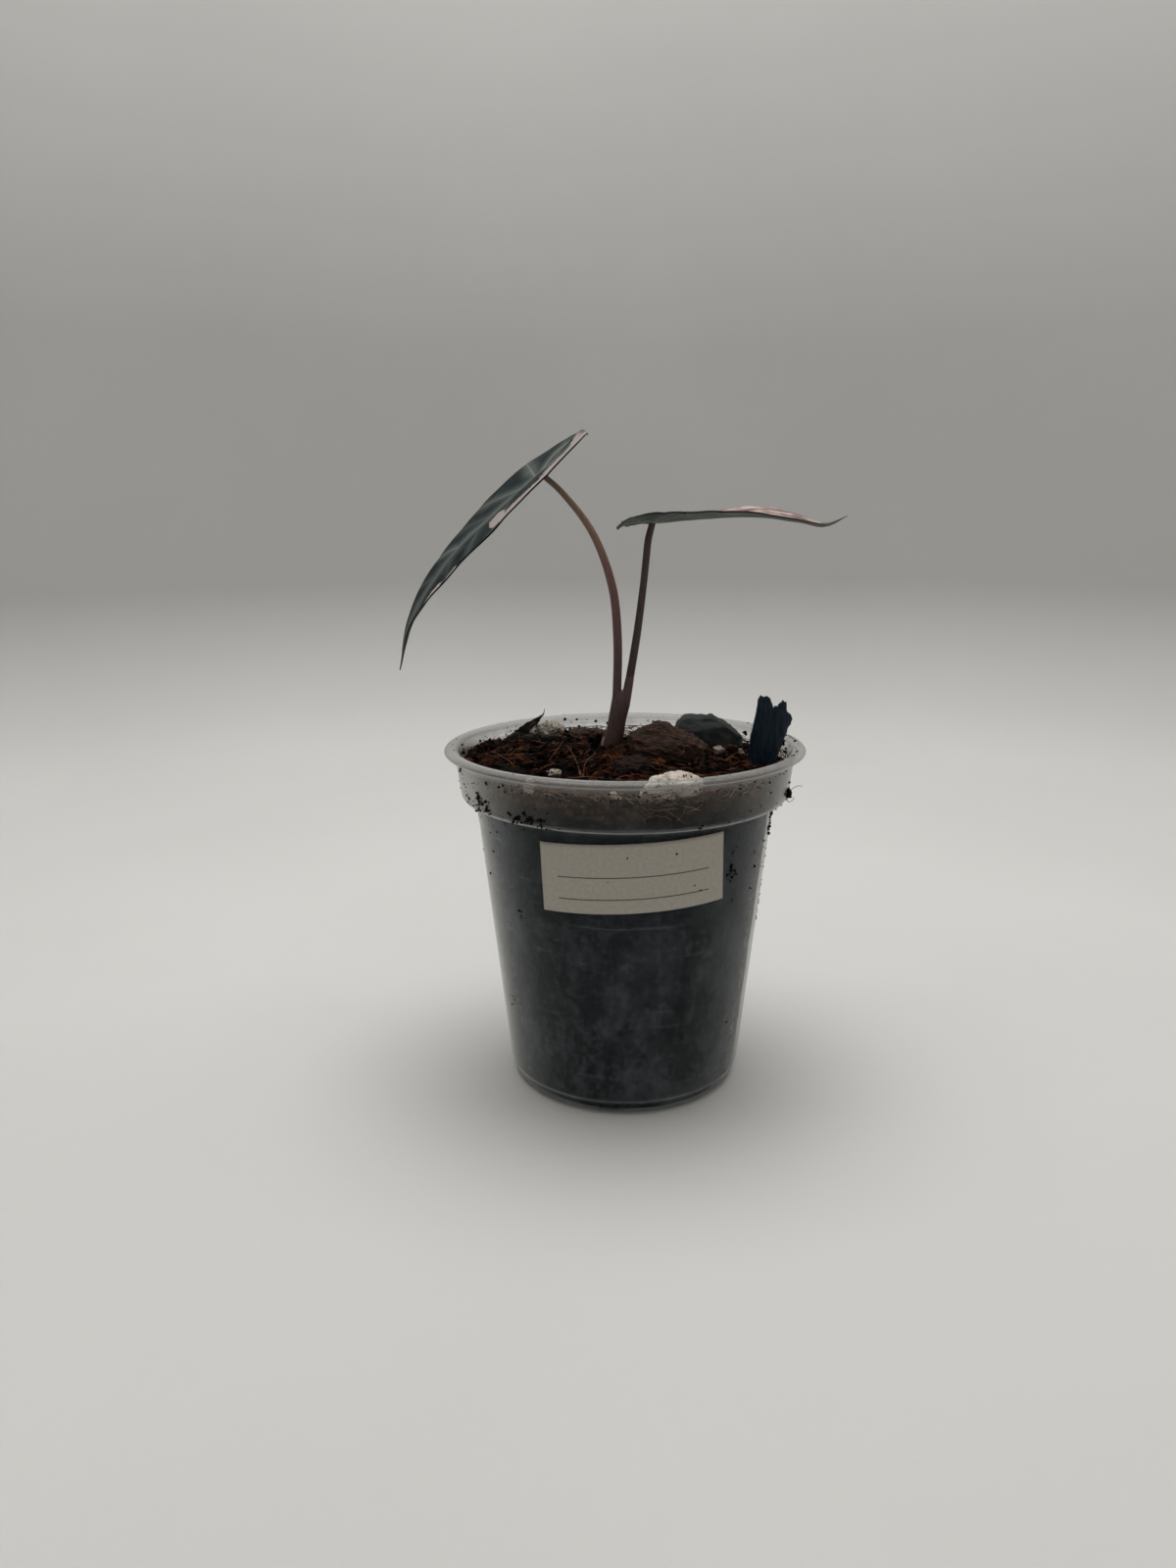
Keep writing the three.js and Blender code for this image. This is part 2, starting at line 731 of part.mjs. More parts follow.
function shardGeometry(grow = 0) {
  const ring = (y) =>
    SHARD_OUTLINE.map(([x, z]) => {
      const out = new THREE.Vector2(x - SHARD_MIDDLE[0], z - SHARD_MIDDLE[1]);
      out.setLength(out.length() + SHARD_CORNER_ROOM * grow);
      return new THREE.Vector3(
        SHARD_MIDDLE[0] + out.x,
        y + SHARD_LEAN * (z - SHARD_MIDDLE[1]),
        SHARD_MIDDLE[1] + out.y,
      );
    });
  const half = SHARD_THICKNESS / 2 + grow;
  return loft([ring(SHARD_DEPTH + half), ring(SHARD_DEPTH - half)]);
}

// Height of the mix's surface, before its flakes are added.
function mixHeight(x, y) {
  const heap = MIX_HEAP * Math.exp(-((x + 2) ** 2 + (y - 2) ** 2) / MIX_HEAP_SPREAD ** 2);
  const coarse = bumps(x / 7, y / 7, 0, 4);
  const fine = bumps(x / 2.6, y / 2.6, 0, 9);
  return MIX_LEVEL + heap + MIX_ROUGHNESS * (coarse + 0.6 * fine);
}

// The mix fills the pot: its sides follow the wall and its top is rough.
function mixBlock() {
  const top = MIX_LEVEL - 0.4;
  const wall = beside(POT_OUTSIDE, WALL + SEAT).slice(0, -1);
  const rimRadius = COLLAR_TOP_RADIUS - WALL - SEAT - MIX_RIM_GAP;
  const rings = MIX_RINGS.map((share) => [share * rimRadius, top]);
  const geometry = spun([...wall, ...rings], POT_SEGMENTS);
  const place = geometry.attributes.position;
  for (let i = 0; i < place.count; i++) {
    const [x, y, z] = [place.getX(i), place.getY(i), place.getZ(i)];
    if (Math.abs(z - top) < 1e-3) place.setZ(i, mixHeight(x, y));
  }
  return solidOf(geometry);
}

// A flake of coir: a short bent strip with pointed ends.
function flake(random) {
  const reach = FLAKE_REACH * Math.sqrt(random());
  const a = between(random, 0, 2 * Math.PI);
  const [x, y] = [reach * Math.cos(a), reach * Math.sin(a)];
  const length = between(random, ...FLAKE_LENGTH);
  const width = between(random, ...FLAKE_WIDTH);
  const depth = between(random, ...FLAKE_DEPTH);
  const bend = between(random, ...FLAKE_BEND);
  const rings = [-1, 0, 1].map((end) => {
    const taper = end ? FLAKE_TAPER : 1;
    return [0, 1, 2, 3].map((corner) => {
      const b = (Math.PI / 2) * corner;
      const sag = bend * (1 - end * end);
      const [across, up] = [width * taper * Math.cos(b), depth * taper * Math.sin(b)];
      return new THREE.Vector3((end * length) / 2, sag + across, up);
    });
  });
  const [roll, pitch] = [between(random, ...FLAKE_ROLL), between(random, ...FLAKE_PITCH)];
  const turn = new THREE.Euler(roll, pitch, between(random, 0, Math.PI));
  const geometry = loft(rings);
  geometry.applyMatrix4(new THREE.Matrix4().makeRotationFromEuler(turn));
  return geometry.translate(x, y, mixHeight(x, y) + between(random, ...FLAKE_LIFT));
}

// The space inside the pot that the mix and its flakes may use.
function potRoom() {
  const wall = beside(POT_OUTSIDE, WALL + SEAT);
  return solidOf(spun([...wall, [0, COLLAR_TOP_HEIGHT + 4]], POT_SEGMENTS));
}

function mixGeometry(neighbours) {
  const random = seeded(7);
  let mix = mixBlock();
  for (let i = 0; i < FLAKES; i++) mix = mix.add(solidOf(flake(random)));
  mix = mix.intersect(potRoom());
  neighbours.forEach((room) => {
    mix = mix.subtract(room);
  });
  return geometryOf(mix);
}

function material(color, roughness, extra = {}) {
  return new THREE.MeshStandardMaterial({ color, roughness, metalness: 0, ...extra });
}

const MATERIALS = {
  pot: material(0xdfe3e2, 0.25, { transparent: true, opacity: 0.35 }),
  paper: material(0xd9d4cc, 0.85),
  mix: material(0x4a2c1e, 0.95),
  corm: material(0xb59b78, 0.8),
  petiole: material(0x6b464a, 0.5),
  leaf: material(0x2f4740, 0.45),
  bark: material(0x563a2c, 0.9),
  charcoal: material(0x1b2429, 0.7),
  stone: material(0xc9c0b4, 0.95),
};

const plant = new THREE.Group();

function add(name, geometry, finish) {
  const mesh = new THREE.Mesh(geometry, MATERIALS[finish]);
  mesh.name = name;
  plant.add(mesh);
}

const FINISHES = { bark: "bark", charcoal: "charcoal", pumice: "stone", perlite: "stone" };
const rooms = [
  olderPetiole(SEAT),
  cormAndRoots(SEAT),
  solidOf(stickGeometry(SEAT)),
  solidOf(shardGeometry(SEAT)),
];

add("pot", potGeometry(), "pot");
add("label", labelGeometry(), "paper");
const youngRoom = solidOf(stalk(rightPetiole, { steps: 18, grow: SEAT }));
add("petiole_left", geometryOf(olderPetiole().subtract(youngRoom)), "petiole");
add("petiole_right", stalk(rightPetiole, { steps: 18 }), "petiole");
add("leaf_left", bladeGeometry(LEFT_LEAF), "leaf");
add("leaf_right", bladeGeometry(RIGHT_LEAF), "leaf");
add("corm_with_roots", geometryOf(cormAndRoots()), "corm");
add("charcoal_stick", stickGeometry(), "charcoal");
add("bark_shard", shardGeometry(), "bark");

const lumps = Object.entries(LUMPS);
PERLITE.forEach((grain, i) => lumps.push(["perlite_" + (i + 1), perlite(grain, i + 1)]));
lumps.forEach(([name, shape]) => {
  add(name, lump(shape), FINISHES[name.split("_")[0]]);
  rooms.push(solidOf(lump(shape, SEAT)));
});

add("growing_mix", mixGeometry(rooms), "mix");

export default plant;
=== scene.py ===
"""Looks of the potted bambino alocasia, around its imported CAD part.

A piece is modelled in millimetres in a bmesh, and becomes metres when it is finished.
Angles on the pot run from its front, which is -Y, towards +X.
"""
import bisect
import math
import random

import bmesh
import bpy
from mathutils import Euler, Matrix, Vector, noise


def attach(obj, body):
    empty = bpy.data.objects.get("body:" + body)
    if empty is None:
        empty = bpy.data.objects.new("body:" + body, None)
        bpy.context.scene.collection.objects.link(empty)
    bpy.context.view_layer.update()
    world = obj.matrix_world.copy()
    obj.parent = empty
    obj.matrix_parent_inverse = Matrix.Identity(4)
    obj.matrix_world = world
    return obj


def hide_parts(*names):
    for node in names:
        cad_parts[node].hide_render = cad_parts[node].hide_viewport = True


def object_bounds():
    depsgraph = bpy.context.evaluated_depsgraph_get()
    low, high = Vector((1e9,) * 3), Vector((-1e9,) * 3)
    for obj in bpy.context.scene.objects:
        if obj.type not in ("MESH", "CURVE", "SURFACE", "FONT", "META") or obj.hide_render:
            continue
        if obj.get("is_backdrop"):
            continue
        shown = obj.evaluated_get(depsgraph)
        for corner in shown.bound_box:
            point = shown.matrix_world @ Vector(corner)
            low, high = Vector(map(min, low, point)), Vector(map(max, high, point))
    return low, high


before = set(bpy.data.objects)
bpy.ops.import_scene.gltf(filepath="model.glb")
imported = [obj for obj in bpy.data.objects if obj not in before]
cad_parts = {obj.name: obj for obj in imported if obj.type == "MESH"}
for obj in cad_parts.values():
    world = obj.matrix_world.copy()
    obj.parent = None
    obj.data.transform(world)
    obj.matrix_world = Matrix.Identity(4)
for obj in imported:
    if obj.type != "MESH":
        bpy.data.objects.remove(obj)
cad_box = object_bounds()

MM = 0.001

# Pot, from the CAD part: [radius, height] from the middle of the base up to the collar's top, then its
# lip, whose lower edge is 0.3 mm above the CAD part's.
WALL = 0.7
RIM_RADIUS = 45
HEEL = (29.9, 3.9)
BODY_TOP = (37.4, 73.2)
COLLAR_FOOT = (41, 75)
COLLAR_TOP = (42.2, 84)
POT_OUTSIDE = [
    (0, 0), (7, 0), (8.2, 1.6), (22.4, 1.6), (23.6, 0), (27.8, 0), (28.7, 0.8), (29.1, 2.9),
    HEEL, BODY_TOP, (37.9, 73.9), (40.3, 74.3), COLLAR_FOOT, COLLAR_TOP,
]
POT_LIP = [
    (42.7, 85.1), (44.4, 85.4), (RIM_RADIUS, 85.8), (44.9, 86.4), (43.7, 87), (42.3, 86.9), (41.5, 86.1),
]
POT_SEGMENTS = 192
# The wall's radius near the ledge, which turns a way round it into an angle.
LEDGE_RADIUS = 38
DRAIN_HOLES = 8
DRAIN_RADIUS = 2.2
DRAIN_CIRCLE = 15.3

# Paper label, from the CAD part. The lines ruled on it are measured from its middle.
LABEL_SIZE = (44.4, 17)
LABEL_MIDDLE = (0.066, 62.8)
LABEL_TURN = 0.043
LABEL_GAP = 0.2
LABEL_THICKNESS = 0.15
RULE_HALF = 18
RULE_HEIGHTS = (0.4, -5)
RULE_WIDTH = 0.28

# Growing mix, from the CAD part.
MIX_LEVEL = 81.9
MIX_HEAP = 2.4
MIX_HEAP_SPREAD = 19
MIX_ROUGHNESS = 0.55
MIX_GAP = 0.08
MIX_RINGS = 48
MIX_SEGMENTS = 240

# Leaves, from the CAD part. A place of -1 is the tips of the back lobes, 0 the petiole and 1 the tip,
# a run is the way along the midrib from the lobes' end, and out is the way from it to the margin.
# Side 1 is the far half and side -1 the near half. A leaf has
#   back, half: the petiole's run and the widest half's width,
#   lift: rows of a place and the slopes of the far and the near half,
#   laterals: veins as a side, the run where each leaves the midrib, its slope, bend and strength,
#   blush: pink patches as a side, run, out, half length and half width.
# These differ from the CAD part by up to 2.4 mm, each pair for the far half and the near half:
#   curl: how far the lobes' inner edges turn up,
#   hook, reach: how far the lobes' tips bend down and lie further back,
#   ahead, below: where the petiole ends, before its place and under the blade,
#   tip: how pale the blade's tip is.
OUTER_EDGE = [
    (-1, 0.5), (-0.86, 0.69), (-0.55, 0.88), (-0.2, 0.98), (0.08, 1), (0.22, 0.96), (0.36, 0.84),
    (0.5, 0.66), (0.64, 0.47), (0.76, 0.31), (0.86, 0.14), (0.93, 0.06), (1, 0.02),
]
SINUS_EDGE = [(-1, 0.5), (-0.93, 0.3), (-0.82, 0.17), (-0.62, 0.08), (-0.42, 0.02), (-0.34, 0), (1, 0)]
SINUS_END = -0.34
MARGIN_WAVES = 5
LEFT_LEAF = {
    "back": 14,
    "half": 11.5,
    "midrib": [
        (-9.9, 6, 161.8), (-17.1, 4.7, 155.4), (-25.3, 3.2, 148.5), (-33, 2, 141.7),
        (-40.6, 0.8, 134.7), (-48.7, -0.8, 123.9), (-53.1, -2.4, 115.4), (-55.1, -4, 105.7),
    ],
    "lift": [
        (-1, 0.27, -0.15), (-0.2, 0.38, -0.18), (0.15, 0.43, -0.25), (0.3, 0.4, -0.355),
        (0.4, 0.36, -0.42), (0.5, 0.4, -0.46), (0.6, 0.48, -0.49), (0.7, 0.5, -0.39), (1, 0.42, -0.23),
    ],
    "laterals": [
        (1, 15.6, -0.13, 0, 0.75), (1, 19.5, 0.95, 0.01, 0.6), (1, 30, 0.5, 0.04, 0.3),
        (1, 40.8, 0.2, 0.075, 0.75), (1, 50, 0.35, 0.09, 0.35), (-1, 22, 0.8, 0.02, 0.3),
        (-1, 33, 0.7, 0.03, 0.3), (-1, 43, 0.7, 0.04, 0.25), (1, 9, -0.6, -0.02, 0.45),
        (-1, 8, -0.7, 0, 0.3),
    ],
    "blush": [
        (-1, 1, 6.4, 5.5, 5), (-1, 9, 11, 9.6, 7.6), (-1, 17, 11.6, 11, 4.1), (-1, 24.5, 11, 7, 3.8),
        (-1, 29.4, 6.8, 3.4, 4.4), (-1, 48.5, 7.4, 5.5, 1.5), (-1, 54.5, 5.3, 6, 1.4),
    ],
    "curl": (-0.4, 1.3),
    "hook": (0.2, 0.2),
    "reach": (0, 0),
    "ahead": 0,
    "below": 0.5,
    "tip": 0.25,
}
RIGHT_LEAF = {
    "back": 9.4,
    "half": 9.3,
    "midrib": [
        (-0.9, 4, 139.7), (6.5, 6, 140.9), (18.8, 7.6, 142), (32.5, 9.2, 142.4),
        (43.2, 10.8, 141.1), (50.4, 12.4, 139.9), (56, 14, 142),
    ],
    "lift": [
        (-1, 0, 0.29), (-0.6, 0.16, 0.25), (-0.2, 0.15, 0.22), (0.15, 0.12, 0.15), (0.3, 0.135, 0.114),
        (0.4, 0.2, 0.09), (0.5, 0.36, 0.05), (0.65, 0.46, -0.02), (1, 0.34, 0),
    ],
    "laterals": [
        (1, 9.8, 0.1, 0.02, 0.6), (1, 16, 0.6, 0.03, 0.6), (1, 24, 0.7, 0.03, 0.5),
        (1, 33, 0.7, 0.04, 0.4), (-1, 9.6, 0.3, 0.03, 0.7), (-1, 15, 0.8, 0.03, 0.5),
        (-1, 24, 0.8, 0.04, 0.4), (-1, 34, 0.8, 0.05, 0.3), (-1, 7, -0.8, 0.02, 0.6),
        (1, 6.5, -0.8, 0.02, 0.5),
    ],
    "blush": [(1, 37, 6, 21.5, 12), (1, 1.5, 5.5, 2.4, 2.4), (-1, 50, 2, 9, 5)],
    "curl": (0, 0.3),
    "hook": (-1.3, 1.3),
    "reach": (-2.2, 2.4),
    "ahead": 1.2,
    "below": 0,
    "tip": 0.9,
}
# Thickness of the blade and of its ribs.
BLADE = 0.4
RIB = 1.0
# Runs over which the lobes' tips hook down, and the blade's tip grows thinner and paler.
HOOK_RUN = 2.2
THIN_RUN = 8
PALE_RUN = 5
BLADE_SEAT = 0.2
TIP_TRIM = 0.12
# Cells along a half of a blade and across it, and steps of a midrib's course.
BLADE_CELLS = (280, 44)
MIDRIB_STEPS = 400

# Stalks, from the CAD part, with the younger one's top a little further left.
LEFT_PETIOLE = [
    (-3.2, 5, 82.2), (-2.7, 5, 89), (-2.1, 5, 94.7), (-1.8, 5, 100.3),
    (-1.7, 4.8, 112.9), (-3, 4.6, 125.3), (-7.9, 4.3, 138.5), (-15.4, 4.1, 148.2),
]
LEFT_RADII = [1.3, 1.25, 1.2, 1.15, 1.15, 1.1, 0.95, 0.8, 0.75]
RIGHT_PETIOLE = [
    (0.2, 5.1, 95.4), (1.3, 5.2, 101.8), (3.1, 5.4, 112.8), (4.7, 5.7, 125.2),
    (5.4, 5.8, 132), (5.9, 5.9, 136.6),
]
RIGHT_RADII = [0.8, 1.05, 1, 0.9, 0.9, 0.9, 0.8]
SHEATH = [(-3.2, 5, 82.2), (-2.9, 5, 85.2), (-2.2, 5, 89.3), (-1.5, 5, 93.4), (-0.9, 5, 97), (-0.6, 5, 99.2)]
SHEATH_RADII = [2.9, 2.6, 2.3, 2.3, 2.25, 1.3]
SHEATH_FLATTEN = 0.8
# The sheath's lip hugs the younger stalk and ends flush with it.
SLEEVE = [(-0.6, 5, 91), (0.2, 5.1, 95.4), (0.75, 5.15, 98.6), (1.3, 5.2, 101.8), (1.7, 5.25, 104)]
SLEEVE_RADII = [0.9, 1.25, 1.22, 1.14, 0.98]

# Lumps in the mix, from the CAD part: middle, half size, corner power, roughness, seed, turn and
# split faces. A split face is [x, y, z] square to it and its distance from the middle. The front
# pumice's two are only here.
LUMPS = {
    "bark_chip_large": (
        (10.9, 0.2, 85.3), (10.2, 7.4, 6.4), 3, 0.09, 3, (0.1, 0.1, 0.15),
        [(-0.7, 0.7, 0, 8.2), (-0.31, 0, 0.95, 6.5), (0.48, 0, 0.88, 5), (0, -0.64, 0.77, 5.8)],
    ),
    "bark_chip_front": ((2, -15.6, 83.3), (4.8, 4.2, 2.9), 3, 0.1, 8, (0.1, -0.05, 0.3), []),
    "bark_chip_small": ((12.6, -21.6, 82.5), (3.8, 2.8, 2), 3, 0.12, 5, (0.1, 0.2, -0.5), []),
    "bark_chip_back": ((-9.5, 24, 83.6), (5.2, 3.4, 2.5), 3.2, 0.1, 7, (-0.1, 0.1, -0.3), []),
    "charcoal_lump": (
        (22.4, 18.6, 84.9), (9.2, 5.8, 5.8), 4, 0.05, 12, (0, 0.05, 0.1),
        [(0.6, 0, 0.8, 5.5), (-0.9, 0, 0.44, 8.9), (0, -0.75, 0.66, 6.2)],
    ),
    "pumice_front": (
        (10.5, -35.4, 83.3), (7, 3.4, 3.7), 2.5, 0.08, 4, (0, 0, 0.28),
        [(0.12, 0, -1, 1.7), (-0.8, 0, 0.6, 5.2)],
    ),
    "pumice_back": ((-20.6, 28.6, 83.9), (4.6, 3.2, 3.2), 2.4, 0.1, 9, (0, 0.1, 0.5), []),
}
# Perlite grains as [x, y, z, half width, half height].
PERLITE = [
    (24.4, 5.6, 83.8, 1.5, 1.3), (30.2, 8, 83, 0.9, 0.9), (-16.6, -19.4, 83.4, 1.8, 0.8),
    (-21.2, -32.4, 83.4, 1.3, 1.5), (-2.4, -38.8, 82.6, 1.2, 1), (0.8, 29, 83.2, 1.4, 1),
    (8, 31, 83, 1.6, 1.2),
]
# The charcoal stick's sides as [height, x] and its torn top as [x, height].
STICK_LEFT = [(76.6, 30.5), (82.5, 30.6), (90.3, 31.2), (94.8, 32), (99.5, 32.7)]
STICK_RIGHT = [
    (76.6, 36.4), (80.5, 36.9), (82.5, 37.3), (85.3, 38.2), (87.3, 38.7), (88.7, 39), (90.1, 39.9),
    (91.6, 40.1), (92.7, 40.7), (94, 40.9), (95.1, 40.4), (95.7, 39.7), (99.5, 39.5),
]
STICK_TOP = [
    (32.6, 98.2), (33, 99.1), (33.5, 99.2), (34.1, 98.8), (34.6, 99), (35.4, 98.6), (35.8, 97.6),
    (36.1, 96.5), (36.8, 96.3), (37.6, 96.5), (38, 97.3), (38.8, 97.9), (39.5, 97.5),
]
STICK_FOOT = 76.6
STICK_HEIGHT = 22
STICK_HALF_DEPTH = 2
STICK_MIDDLE_Y = -4.3
STICK_LEAN = 0.069
SHARD_OUTLINE = [
    (-31.4, 80.4), (-27.2, 80.4), (-26.2, 83.4), (-25.5, 84.9), (-24.1, 86.3), (-22.9, 88.2), (-22, 89.8),
    (-22.8, 89.2), (-25.5, 88.1), (-28.3, 86.3), (-29.9, 84.9), (-30.9, 82.9),
]
SHARD_MIDDLE = 84.8
SHARD_DEPTH = 25
SHARD_THICKNESS = 1.5
SHARD_LEAN = 0.12
SHARD_WHISKER = [
    ((-22.4, 25.5, 89), 1), ((-22, 25.6, 89.9), 0.8), ((-21.8, 25.6, 90.6), 0.6), ((-21.8, 25.6, 91.2), 0.3),
]

# Scattered pieces of the mix, and how far from its middle they start and may lie.
CRUMBS = 1500
CRUMB_REACH = 40.2
CLUMP_REACH = 39.8
FLAKE_REACH = 39
BUNDLE_REACH = 39.5
FIBRE_REACH = 40.3
# Clumps of grains as [x, y, spread, rise, count], black and brown ones by turns, then brown ones only.
CLUMPS = [
    (-39, 4, 2.2, 2, 26), (-38.6, 9, 2, 2.4, 26), (-36.5, 14.5, 2.4, 2.6, 30), (-33.5, 19.5, 2.2, 1.6, 32),
    (-29.5, 23.5, 2.4, 2, 30), (-25, 24.5, 2.6, 1.8, 28), (-15.5, 26, 2.4, 2.8, 34), (-12, 24, 3, 2.8, 38),
    (-6, 26, 2.2, 2.2, 26), (-7.5, 17, 2.6, 2, 34), (-20, 6, 5, 1.2, 44), (-12, -8, 5, 1, 40),
    (19, -10, 5, 0.8, 44), (26, 9, 4, 1.2, 38), (-30, -6, 5, 1, 40), (36, 12, 2.4, 1.6, 24),
    (-22, 22.5, 2.6, 1.6, 30), (-17.5, 23.5, 2.4, 2.2, 30), (-29.5, 18, 3, 1.8, 40), (26, 2, 2.4, 1.4, 26),
]
BROWN_CLUMPS = [
    (-4, 0.5, 1.8, 1.6, 60), (-1, -0.6, 2, 1.7, 70), (1.8, 1.5, 1.5, 2, 50), (-2.5, -3.5, 2.4, 0.8, 50),
]
# Grains caught on pale stones as [lump or perlite number, count].
DUSTED = [("pumice_front", 52), ("pumice_back", 34), (3, 14), (1, 8), (2, 4)]
FIBRE_BUNDLES = 560
WALL_FIBRES = 760
WALL_FIBRE_SEED = 51
# Heights that fibres pressed on the wall keep to: below the ledge, or in the collar.
LOW_FIBRES = (20, 72)
COLLAR_FIBRES = (75.6, 83.6)
# Single fibres seen on the mix, as points of a course.
SEEN_FIBRES = [
    [(-33.1, 0, 84.4), (-30.6, -6, 84.8), (-27.6, -11.4, 84.4), (-25.9, -16, 83.8)],
    [(-7.2, -5.9, 85.2), (-8.8, -11.6, 85), (-9.4, -18.4, 84.8), (-9.3, -25.6, 83.8)],
    [(-13.5, -27, 83.8), (-8.7, -26.8, 84.2), (-4.6, -26.5, 83.8)],
    [(13.7, -9, 88.8), (14.6, -10, 87.6), (14.1, -11, 86.4), (12.7, -11.5, 85.6)],
    [(-29.1, 0, 83.6), (-27.2, 4.2, 84.2), (-24.6, 5.5, 83.8)],
    [(-14.7, 5.7, 85), (-12, -10, 85), (-10.3, -21.4, 84)],
    [(-21.5, -24.6, 83.4), (-18.4, -27.3, 84), (-14.8, -27.2, 83.6)],
    [(-16, 12.5, 84.8), (-17, -0.8, 85), (-18.3, -10, 84.4)],
    [(24.8, -7, 83.8), (29, -1.2, 84.6), (31.1, -3.6, 84)],
]
# The photo's camera, worked out from the pot's circles.
CAMERA_PLACE = (0, -0.278355, 0.142535)
CAMERA_DOWN = 0.23414
CAMERA_PAN = 0.03293
CAMERA_ROLL = -0.00677
FOCAL_PIXELS = 1150
PHOTO_HEIGHT = 1600

# Studio: a round sweep of paper in millimetres, a softbox above and behind, in metres, and a dim room.
SWEEP_FLOOR = 410
SWEEP_CURVE = 100
SWEEP_TOP = 1200
SWEEP_STEPS = 24
SWEEP_SEGMENTS = 128
SOFTBOX_SIZE = (0.9, 0.8)
SOFTBOX_PLACE = (0, 0.18, 0.98)
SOFTBOX_WATTS = 5.6
SOFTBOX_SPREAD = math.radians(130)
ROOM_COLOUR = "#b9bcc0"
ROOM_STRENGTH = 0.12


# Colours and shader nodes

# Settings and sockets of a Mix node that mixes or multiplies colours.
BLEND = {"data_type": "RGBA"}
TIMES = {"data_type": "RGBA", "blend_type": "MULTIPLY"}
MIX_A, MIX_B, MIXED = 6, 7, 2
SHINE = "Specular IOR Level"


def linear(hex_colour):
    """An sRGB hex colour as linear red, green, blue and alpha."""
    channels = [int(hex_colour[i:i + 2], 16) / 255 for i in (1, 3, 5)]
    return [*(c / 12.92 if c <= 0.04045 else ((c + 0.055) / 1.055) ** 2.4 for c in channels), 1]


def add(tree, kind, links, stops=(), **settings):
    """Adds a shader node and returns its outputs. Links are values or outputs for its inputs."""
    node = tree.nodes.new("ShaderNode" + kind)
    for name, value in settings.items():
        setattr(node, name, value)
    for i, (position, colour) in enumerate(stops):
        spots = node.color_ramp.elements
        spot = spots[i] if i < 2 else spots.new(1)
        spot.position = position
        spot.color = linear(colour) if isinstance(colour, str) else (colour, colour, colour, 1)
    for name, value in links.items():
        if isinstance(value, bpy.types.NodeSocket):
            tree.links.new(value, node.inputs[name])
        else:
            node.inputs[name].default_value = value
    return node.outputs


def finish(name, build):
    """A material whose surface is the shader that build adds to its tree."""
    made = bpy.data.materials.new(name)
    made.use_nodes = True
    tree = made.node_tree
    tree.nodes.clear()
    add(tree, "OutputMaterial", {"Surface": build(tree)})
    return made


def measured(tree, stretch=(1, 1, 1), turn=(0, 0, 0)):
    """The place on a piece in millimetres, turned, then stretched."""
    spot = add(tree, "TexCoord", {})["Object"]
    scale = [s / MM for s in stretch]
    return add(tree, "Mapping", {"Vector": spot, "Rotation": turn, "Scale": scale})["Vector"]


def along(tree, axis, low, high, first=0.0, last=1.0):
    """A value that goes from first to last between two places on an axis, in millimetres."""
    spot = add(tree, "SeparateXYZ", {"Vector": measured(tree)})[axis]
    ends = {"Value": spot, "From Min": low, "From Max": high, "To Min": first, "To Max": last}
    return add(tree, "MapRange", ends)["Result"]


def mottled(tree, spot, size, detail, roughness, stops):
    """A pattern of grains of a size, in the units of the spot, and its tones."""
    grains = {"Vector": spot, "Scale": 1 / size, "Detail": detail, "Roughness": roughness}
    grain = add(tree, "TexNoise", grains)["Fac"]
    return grain, add(tree, "ValToRGB", {"Fac": grain}, stops)["Color"]


def dented(tree, tone, relief, strength, depth, values):
    """An opaque shader whose relief is that many millimetres deep."""
    dent = add(tree, "Bump", {"Height": relief, "Strength": strength, "Distance": depth * MM})["Normal"]
    return add(tree, "BsdfPrincipled", {"Base Color": tone, "Normal": dent, **values})["BSDF"]


